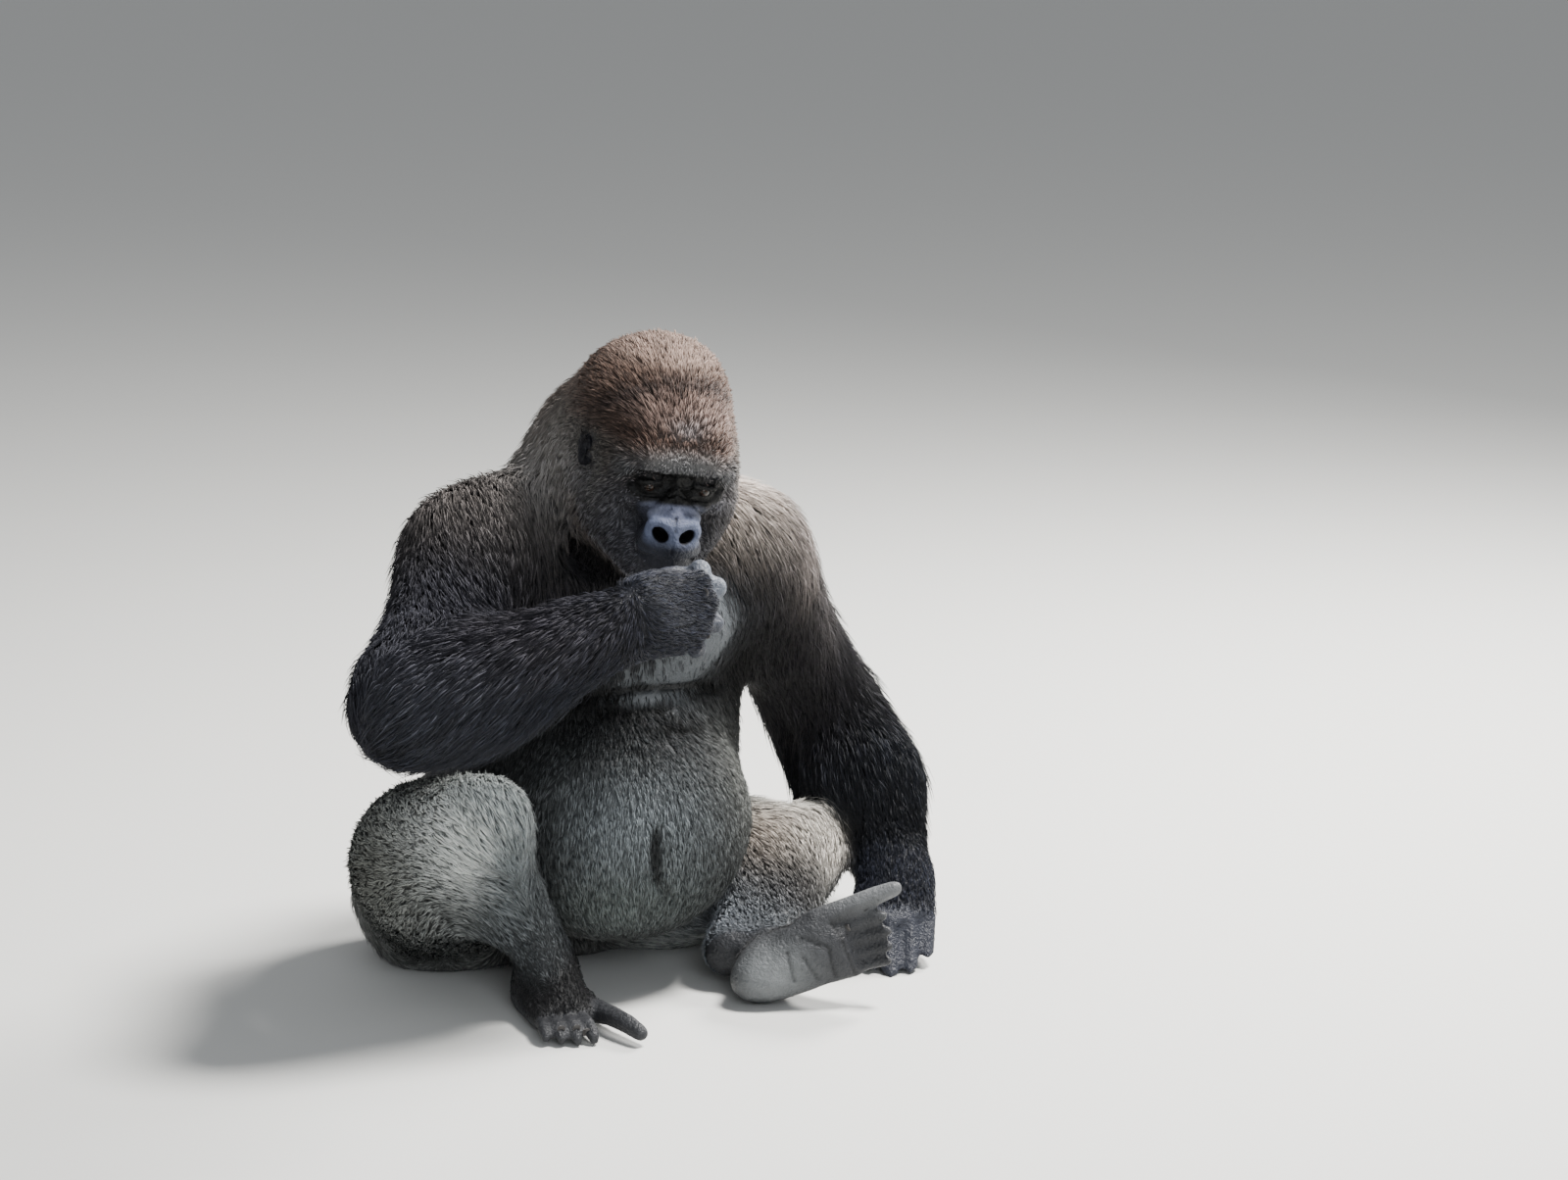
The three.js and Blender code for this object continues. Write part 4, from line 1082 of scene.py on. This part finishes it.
def spines(tree, roots, normals, lie, length, rise):
    """The waist and tip of each tuft. Tips float over the skin, so the hair follows the body."""
    goal = roots + lie * length[:, None]
    under, facing = nearest_skin(tree, goal)
    stray = size_of(under - goal) / length
    tip = mix(goal + normals * rise[:, None], under + facing * rise[:, None], step(0.75, 0.35, stray))
    chord = tip - roots
    turn = ((facing - normals) * unit(chord)).sum(axis=1).clip(-0.9, 0.9)
    bulge = size_of(chord) * turn / 8 + 0.28 * rise
    waist = roots + WAIST * chord + unit(normals + facing + 0.01 * normals) * bulge[:, None]
    return waist, tip


LOCK_SIZE = 11  # tufts that lean together


def locks(tips):
    """The tuft that leads each one's lock."""
    leaders = np.flatnonzero(RANDOM.random(len(tips)) < 1 / LOCK_SIZE)
    tree = KDTree(len(leaders))
    for k, place in zip(leaders.tolist(), tips[leaders].tolist()):
        tree.insert(place, k)
    tree.balance()
    return np.array([tree.find(place)[1] for place in tips.tolist()])


def tuft_mesh(name, roots, normals, waist, tip, width, hue):
    count = len(roots)
    heading = unit(tip - roots)
    across = unit(np.cross(heading, normals)) * (width / 2)[:, None]
    out = unit(np.cross(across, heading)) * (width * 0.4)[:, None]
    corners = [roots - normals * ROOT_DEPTH, waist - across, waist + across, waist + out, tip]
    corners = np.stack(corners, axis=1)
    corners[:, :, 2] = np.maximum(corners[:, :, 2], FLOOR_CLEARANCE)
    each = corners.shape[1]
    triangles = (TUFT_FACES[None] + (np.arange(count) * each)[:, None, None]).reshape(-1, 3)
    mesh = mesh_from(name, corners.reshape(-1, 3), triangles)
    uv = unwrap(roots)[:, None, :] + UV_PATCH * TUFT_UV[None]
    layer = mesh.uv_layers.new(name="OFBake")
    layer.data.foreach_set("uv", uv.reshape(-1, 2)[triangles.ravel()].astype(np.float32).ravel())
    colour = np.ones((count, each, 4), np.float32)
    colour[:, :, :3] = hue[:, None, :] * TUFT_SHADE[None, :, None]
    attribute = mesh.color_attributes.new("coat", "FLOAT_COLOR", "POINT")
    attribute.data.foreach_set("color", colour.ravel())
    return mesh


def jittered(values, spread):
    return values * (1 + spread * (RANDOM.random(len(values)) * 2 - 1))


MOST_TUFTS = 32500  # in one piece
STRAY_SHARE, STRAY_RISE = 0.10, 1.6  # how many tufts stand out, and how much more than the others


def tones(at, leader):
    """The colour of each tuft. Those of one lock are much alike."""
    count = len(leader)
    draw = 0.45 * RANDOM.random(count)[leader] + 0.55 * RANDOM.random(count)
    chance = (draw < at("share")).astype(float)
    tone = np.clip(0.6 * chance + 0.4 * RANDOM.random(count), 0, 1)
    hue = mix(at("dark"), at("light"), tone) * (0.85 + 0.3 * RANDOM.random(count))[:, None]
    # painted shade on the tufts in the folds
    return hue * (1 - 0.88 * np.clip(at("cut") / 4, 0, 1))[:, None]


def grow(name, members, skin):
    """One piece of the coat, over the skin of its nodes."""
    inside = np.isin(skin["labels"], [FLESH.index(n) for n in members])
    chosen = skin["triangles"][inside[skin["triangles"]].sum(axis=1) >= 2]
    load = loads(skin["points"], chosen, (1 - skin["bare"]) * skin["density"])
    count = min(int(load.sum() * 1e4), MOST_TUFTS)
    face, share = scatter(load, count)
    corner = chosen[face]

    def at(values):
        return np.einsum("nk,nk...->n...", share, skin[values][corner])

    roots, normals = at("points"), unit(at("normals"))
    lie = at("lie") + 0.11 * RANDOM.standard_normal((count, 3))
    lie = unit(lie - (lie * normals).sum(axis=1, keepdims=True) * normals)
    length, width = jittered(at("length"), 0.3), jittered(at("width"), 0.25)
    rise = jittered(at("rise"), 0.3) * np.where(RANDOM.random(count) < STRAY_SHARE, STRAY_RISE, 1.0)
    waist, tip = spines(skin["tree"], roots, normals, lie, length, rise)
    leader = locks(tip)
    pull = (tip[leader] - tip) * 0.4
    mesh = tuft_mesh(name, roots, normals, waist + 0.4 * pull, tip + pull, width, tones(at, leader))
    add_piece(name, mesh, coat_material())


# ---------------------------------------------------------------- materials


class Finish:
    """A material whose colour comes from a vertex attribute and whose detail comes from nodes."""

    def __init__(self, name):
        self.material = bpy.data.materials.new(name)
        self.material.use_nodes = True
        self.tree = self.material.node_tree
        self.tree.nodes.clear()
        self.shader = self.node("BsdfPrincipled")
        output = self.node("OutputMaterial")
        self.join(self.shader.outputs["BSDF"], output.inputs["Surface"])
        self.place = self.node("TexCoord").outputs["Object"]

    def node(self, kind, **inputs):
        made = self.tree.nodes.new(f"ShaderNode{kind}")
        for key, value in inputs.items():
            made.inputs[key.replace("_", " ")].default_value = value
        return made

    def join(self, source, target):
        self.tree.links.new(source, target)

    def set(self, **inputs):
        for key, value in inputs.items():
            self.shader.inputs[key.replace("_", " ")].default_value = value

    def surface(self, colour, roughness):
        self.join(colour, self.shader.inputs["Base Color"])
        self.join(roughness, self.shader.inputs["Roughness"])

    def noise(self, scale, detail):
        made = self.node("TexNoise", Scale=scale, Detail=detail)
        self.join(self.place, made.inputs["Vector"])
        return made.outputs["Fac"]

    def attribute(self, name, output):
        made = self.node("Attribute")
        made.attribute_name = name
        return made.outputs[output]

    def ranged(self, source, low, high):
        made = self.node("MapRange", To_Min=low, To_Max=high)
        self.join(source, made.inputs["Value"])
        return made.outputs["Result"]

    def scaled(self, colour, share):
        made = self.node("VectorMath")
        made.operation = "SCALE"
        self.join(colour, made.inputs[0])
        self.join(share, made.inputs["Scale"])
        return made.outputs["Vector"]

    def added(self, a, b):
        made = self.node("Math")
        made.operation = "ADD"
        self.join(a, made.inputs[0])
        self.join(b, made.inputs[1])
        return made.outputs["Value"]

    def bumped(self, height, strength, distance):
        made = self.node("Bump", Strength=strength, Distance=distance)
        self.join(height, made.inputs["Height"])
        self.join(made.outputs["Normal"], self.shader.inputs["Normal"])


def coat_material():
    material = bpy.data.materials.get("coat_hair")
    if material:
        return material
    finish = Finish("coat_hair")
    fine = finish.noise(60, 4)
    hue = finish.scaled(finish.attribute("coat", "Color"), finish.ranged(fine, 0.7, 1.3))
    finish.surface(hue, finish.ranged(fine, 0.45, 0.75))
    finish.set(Specular_IOR_Level=0.14, Sheen_Weight=0.02, Sheen_Roughness=0.5)
    return finish.material


def skin_material():
    finish = Finish("gorilla_skin")
    fine = finish.noise(70, 8)
    pores = finish.node("TexVoronoi", Scale=420)
    finish.join(finish.place, pores.inputs["Vector"])
    hue = finish.scaled(finish.attribute("coat", "Color"), finish.ranged(fine, 0.6, 1.4))
    finish.surface(hue, finish.ranged(fine, 0.34, 0.6))
    creases = finish.node("TexVoronoi", Scale=120)
    creases.feature = "DISTANCE_TO_EDGE"
    finish.join(finish.place, creases.inputs["Vector"])
    folds = finish.ranged(creases.outputs["Distance"], 0.0, 3.0)
    finish.bumped(finish.added(finish.added(pores.outputs["Distance"], fine), folds), 0.6, 0.0014)
    finish.set(Specular_IOR_Level=0.2)
    return finish.material


def nail_material():
    finish = Finish("nail")
    ridges = finish.noise(300, 5)
    ramp = finish.node("ValToRGB")
    ramp.color_ramp.elements[0].color = (0.018, 0.017, 0.018, 1)
    ramp.color_ramp.elements[1].color = (0.055, 0.050, 0.048, 1)
    finish.join(ridges, ramp.inputs["Fac"])
    finish.surface(ramp.outputs["Color"], finish.ranged(ridges, 0.25, 0.45))
    finish.bumped(ridges, 0.3, 0.0005)
    return finish.material


# The eyeball's colours from the middle of the pupil to the back.
EYE_STOPS = [
    (0.0, (0.001, 0.001, 0.001, 1)),
    (0.125, (0.001, 0.001, 0.001, 1)),
    (0.15, (0.022, 0.010, 0.005, 1)),
    (0.30, (0.014, 0.007, 0.004, 1)),
    (0.345, (0.004, 0.003, 0.003, 1)),
    (0.40, (0.010, 0.008, 0.007, 1)),
    (1.0, (0.014, 0.011, 0.010, 1)),
]


def eye_material():
    finish = Finish("eyeball")
    ramp = finish.node("ValToRGB")
    first, last = ramp.color_ramp.elements
    first.position, first.color = EYE_STOPS[0]
    last.position, last.color = EYE_STOPS[-1]
    for position, colour in EYE_STOPS[1:-1]:
        ramp.color_ramp.elements.new(position).color = colour
    finish.join(finish.attribute("gaze", "Fac"), ramp.inputs["Fac"])
    hue = finish.scaled(ramp.outputs["Color"], finish.ranged(finish.noise(900, 3), 0.7, 1.3))
    finish.join(hue, finish.shader.inputs["Base Color"])
    finish.set(Roughness=0.2, Specular_IOR_Level=0.2, Coat_Weight=0.22, Coat_Roughness=0.05)
    return finish.material


# ---------------------------------------------------------------- the pieces


def add_piece(name, mesh, material, replaced=()):
    mesh.materials.append(material)
    piece = object_from(name, mesh)
    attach(piece, "root")
    if replaced:
        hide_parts(*replaced)
    return piece


def paint_vertices(mesh, hue):
    colour = np.ones((len(hue), 4), np.float32)
    colour[:, :3] = hue
    mesh.color_attributes.new("coat", "FLOAT_COLOR", "POINT").data.foreach_set("color", colour.ravel())


def coat_depth(points, labels, bare, web):
    """How far the skin lies under the tips of the coat, in mm."""
    depth = web.spread(per_node(DEPTH)[labels] * taper(points, labels), 30) * (1 - bare)
    depth = np.where(face_share(to_head(points)) > 0.5, 0.5 * depth, depth)
    return web.spread(depth * step(0.0, 0.04, points[:, 2]), 4) + 0.4


def lie_over(points, normals, labels, web):
    lie = np.zeros_like(points)
    for index, name in enumerate(FLESH):
        mine = labels == index
        if mine.any():
            lie[mine] = unit(lie_of(name, points[mine]))
    lie = web.spread(lie, 25)
    return unit(lie - (lie * normals).sum(axis=1, keepdims=True) * normals)


def dressed_skin():
    """The bare skin, and all that the coat needs to know about it."""
    points, triangles = skin_surface()
    web = Web(len(points), edges_of(triangles, len(points)))
    labels = nearest_nodes(points)
    normals = normals_of(points, triangles)
    bare = web.spread(bareness(points, normals, labels), 5)
    cut = folds(points, normals, labels)
    depth = coat_depth(points, labels, bare, web)
    points = points - normals * ((depth + cut) * MM)[:, None]
    points = mix(points, web.spread(points, 3), step(3, 8, depth))
    points[:, 2] = np.maximum(points[:, 2], MM)
    normals = normals_of(points, triangles)
    dark, light, share = coat_hues(points, normals, labels, web)
    shorter = web.spread(np.where(face_share(to_head(points)) > 0.02, 0.45, 1.0), 5)
    by_ears = step(2, 22, near_ears(to_head(points), (24, 18, 34)))
    shorter = shorter * (1 - 0.5 * bare) * (0.3 + 0.7 * by_ears)
    mesh = mesh_from("skin", points, triangles)
    paint_vertices(mesh, skin_hues(points, labels, dark, light, share, bare, cut))
    add_piece("skin", mesh, skin_material(), FLESH)
    return {
        "points": points,
        "triangles": triangles,
        "tree": BVHTree.FromPolygons(points.tolist(), triangles.tolist()),
        "labels": labels,
        "normals": normals,
        "bare": bare,
        "cut": cut,
        "lie": lie_over(points, normals, labels, web),
        "length": web.spread(per_node(LENGTH)[labels] * taper(points, labels), 25) * shorter * MM,
        "width": web.spread(per_node(WIDTH)[labels], 25) * MM,
        "rise": np.maximum(depth, 0.8) * MM,
        "density": per_node(DENSITY)[labels],
        "dark": dark,
        "light": light,
        "share": share,
    }


EYE_RADIUS = 12.0
EYE_SINK = 3.5  # how far the eyeball lies behind its solid, mm
CORNEA_BULGE = 0.9


def eyeball(side):
    s = SIDES[side]
    rings, turns = 24, 40
    rows = []
    for a in np.linspace(0, math.pi, rings + 1)[1:-1]:
        bulge = EYE_RADIUS + CORNEA_BULGE * math.exp(-((a / 0.42) ** 2))
        for b in np.linspace(0, 2 * math.pi, turns, endpoint=False):
            ring = math.sin(a)
            rows.append((bulge * math.cos(a), bulge * ring * math.cos(b), bulge * ring * math.sin(b)))
    points = np.array([(EYE_RADIUS + CORNEA_BULGE, 0, 0)] + rows + [(-EYE_RADIUS, 0, 0)])
    triangles = []
    for k in range(turns):
        n = (k + 1) % turns
        triangles.append((0, 1 + k, 1 + n))
        last = 1 + (rings - 2) * turns
        triangles.append((last + k, len(points) - 1, last + n))
        for r in range(rings - 2):
            p, q = 1 + r * turns, 1 + (r + 1) * turns
            triangles += [(p + k, q + k, q + n), (p + k, q + n, p + n)]
    sink = np.array([EYE_SINK, 0, 0])
    world = from_head(points + EYE_PLACE * [1, s, 1] - sink)
    mesh = mesh_from(f"eyeball_{side}", world, np.array(triangles))
    gaze = np.arccos(np.clip(points[:, 0] / size_of(points), -1, 1)) / math.pi * 2
    mesh.attributes.new("gaze", "FLOAT", "POINT").data.foreach_set("value", gaze.astype(np.float32))
    add_piece(f"eyeball_{side}", mesh, eye_material(), [f"eye_{side}"])


# ---------------------------------------------------------------- nails


def digit_tip(name, start):
    """A digit's far end, and the way its last bone points."""
    points, triangles = arrays_of(NODES[name].data)
    web = Web(len(points), edges_of(triangles, len(points)))
    steps = np.full(len(points), 99)
    steps[np.argmin(size_of(points - start))] = 0
    for k in range(99):
        reached = np.flatnonzero(steps == k)
        if not len(reached):
            break
        for vertex in reached:
            first = web.starts[vertex]
            others = web.to[first : first + int(web.count[vertex])]
            steps[others] = np.minimum(steps[others], k + 1)
    tip = points[np.argmax(np.where(steps < 99, steps, -1))]
    far = np.sort(size_of(points - tip))[12]
    return tip, unit(tip - points[size_of(points - tip) <= far].mean(axis=0))


def nail(place, out, along, width, length):
    """A thin domed plate with rounded corners, wrapped over the tip of a digit."""
    across = unit(np.cross(along, out))
    rows, columns, thick = 9, 9, 1.1 * MM
    points = []
    for layer in (0, 1):
        for u in np.linspace(-1, 1, rows):
            for w in np.linspace(-1, 1, columns):
                narrow = math.sqrt(max(1 - 0.35 * abs(u) ** 4, 0))
                x, y = 0.5 * length * u * (1 - 0.12 * w * w), 0.5 * width * w * narrow
                drop = 0.28 * width * w * w + 0.06 * length * (u + 1) ** 2
                height = 0.6 * MM - drop * 0.6 + thick * (layer - 0.5)
                points.append(place + along * x + across * y + out * height)
    index = np.arange(rows * columns).reshape(rows, columns)
    a, b, c, d = (g.ravel() for g in (index[:-1, :-1], index[1:, :-1], index[1:, 1:], index[:-1, 1:]))
    bottom = np.concatenate([np.stack([a, b, c], 1), np.stack([a, c, d], 1)])
    top = bottom[:, ::-1] + rows * columns
    rim = np.concatenate([index[0], index[1:, -1], index[-1, -2::-1], index[-2:0:-1, 0]])
    after = np.roll(rim, -1)
    wall = [(p, q, q + rows * columns) for p, q in zip(rim, after)]
    wall += [(p, q + rows * columns, p + rows * columns) for p, q in zip(rim, after)]
    return np.array(points), np.concatenate([bottom, top, np.array(wall)])


NAIL_REACH = 0.016  # nails of the folded fingers would lie deeper than this under the skin


def nails(skin):
    """One nail on the back of each digit that shows its tip."""
    made = []
    digits = [(f"{n}_{s}", HANDS[s], f"hand_{s}") for s in SIDES for n in FINGERS]
    digits += [(f"{n}_{s}", FEET[s], f"foot_{s}") for s in SIDES for n in TOES]
    for name, (forward, up), palm in digits:
        tip, along = digit_tip(name, centre(palm))
        side = unit(np.cross(up, forward))
        along = unit(along - (along @ side) * side)
        flat_up = unit(up - (up @ forward) * forward)
        out = unit((-along @ flat_up) * forward + (along @ forward) * flat_up)
        big = "thumb" in name or "big_toe" in name
        width = (17 if big else 13 if "finger" in name else 11.5) * MM
        back = tip - along * 0.62 * width
        hit = skin["tree"].ray_cast(Vector(back + out * 0.05), Vector(-out), 0.08)
        if hit[0] is None or hit[3] < 0.05 - NAIL_REACH:
            continue
        points, triangles = nail(np.array(hit[0]), out, along, width, 1.15 * width)
        points[:, 2] = np.maximum(points[:, 2], FLOOR_CLEARANCE)
        made.append((points, triangles))
    add_piece("nails", mesh_from("nails", *gathered(made)), nail_material())


def coat(skin):
    grow("coat_head", ["head", "jaw", "ear_right", "ear_left"], skin)
    for name, node in (("neck", "neck"), ("chest", "chest"), ("belly", "abdomen"), ("rump", "pelvis")):
        grow(f"coat_{name}", [node], skin)
    for side in SIDES:
        for part in ("upper_arm", "forearm", "thigh", "shin"):
            grow(f"coat_{part}_{side}", [f"{part}_{side}"], skin)
        for part, digits in (("hand", FINGERS), ("foot", TOES)):
            grow(f"coat_{part}_{side}", [f"{n}_{side}" for n in (part, *digits)], skin)


# ---------------------------------------------------------------- floor, light and camera

FLOOR_REACH = 60.0
FLOOR_HUE = (0.62, 0.62, 0.60, 1)
SKY_HUE, SKY_STRENGTH = (0.93, 0.96, 1.0, 1), 0.42
# Each light's place, width in metres, power in watts and colour.
LIGHTS = {
    "key": ((1.7, -1.2, 4.4), 1.3, 640, (1.0, 0.98, 0.95)),
    "rim": ((3.4, 1.0, 2.9), 1.4, 360, (1.0, 0.98, 0.95)),
    "front": ((-1.2, -5.6, 2.4), 2.6, 115, (0.90, 0.95, 1.0)),
}
LIT_PLACE = (0.1, -0.1, 0.5)
CAMERA, AIM = (-2.466, -6.317, 2.034), (0.427, -0.112, 0.578)
LENS, SENSOR = 100.8, 36.0


def floor():
    corners = np.array([(-1, -1, 0), (1, -1, 0), (1, 1, 0), (-1, 1, 0)]) * FLOOR_REACH
    mesh = mesh_from("floor", corners, np.array([(0, 1, 2), (0, 2, 3)]), smooth=False)
    finish = Finish("pale_floor")
    finish.set(Base_Color=FLOOR_HUE, Roughness=0.85)
    mesh.materials.append(finish.material)
    object_from("floor", mesh)


def aimed(name, data, place, aim):
    item = object_from(name, data)
    item.location = place
    item.rotation_euler = (Vector(aim) - Vector(place)).to_track_quat("-Z", "Y").to_euler()
    return item


def studio():
    floor()
    scene = bpy.context.scene
    scene.world = bpy.data.worlds.new("studio")
    scene.world.use_nodes = True
    sky = scene.world.node_tree.nodes["Background"].inputs
    sky["Color"].default_value, sky["Strength"].default_value = SKY_HUE, SKY_STRENGTH
    for name, (place, width, power, colour) in LIGHTS.items():
        light = bpy.data.lights.new(name, "AREA")
        light.shape = "DISK"
        light.size, light.energy, light.color = width, power, colour
        aimed(name, light, place, LIT_PLACE)
    lens = bpy.data.cameras.new("camera")
    lens.lens, lens.sensor_width = LENS, SENSOR
    scene.camera = aimed("camera", lens, CAMERA, AIM)


def main():
    skin = dressed_skin()
    for side in SIDES:
        eyeball(side)
    nails(skin)
    coat(skin)
    studio()


main()
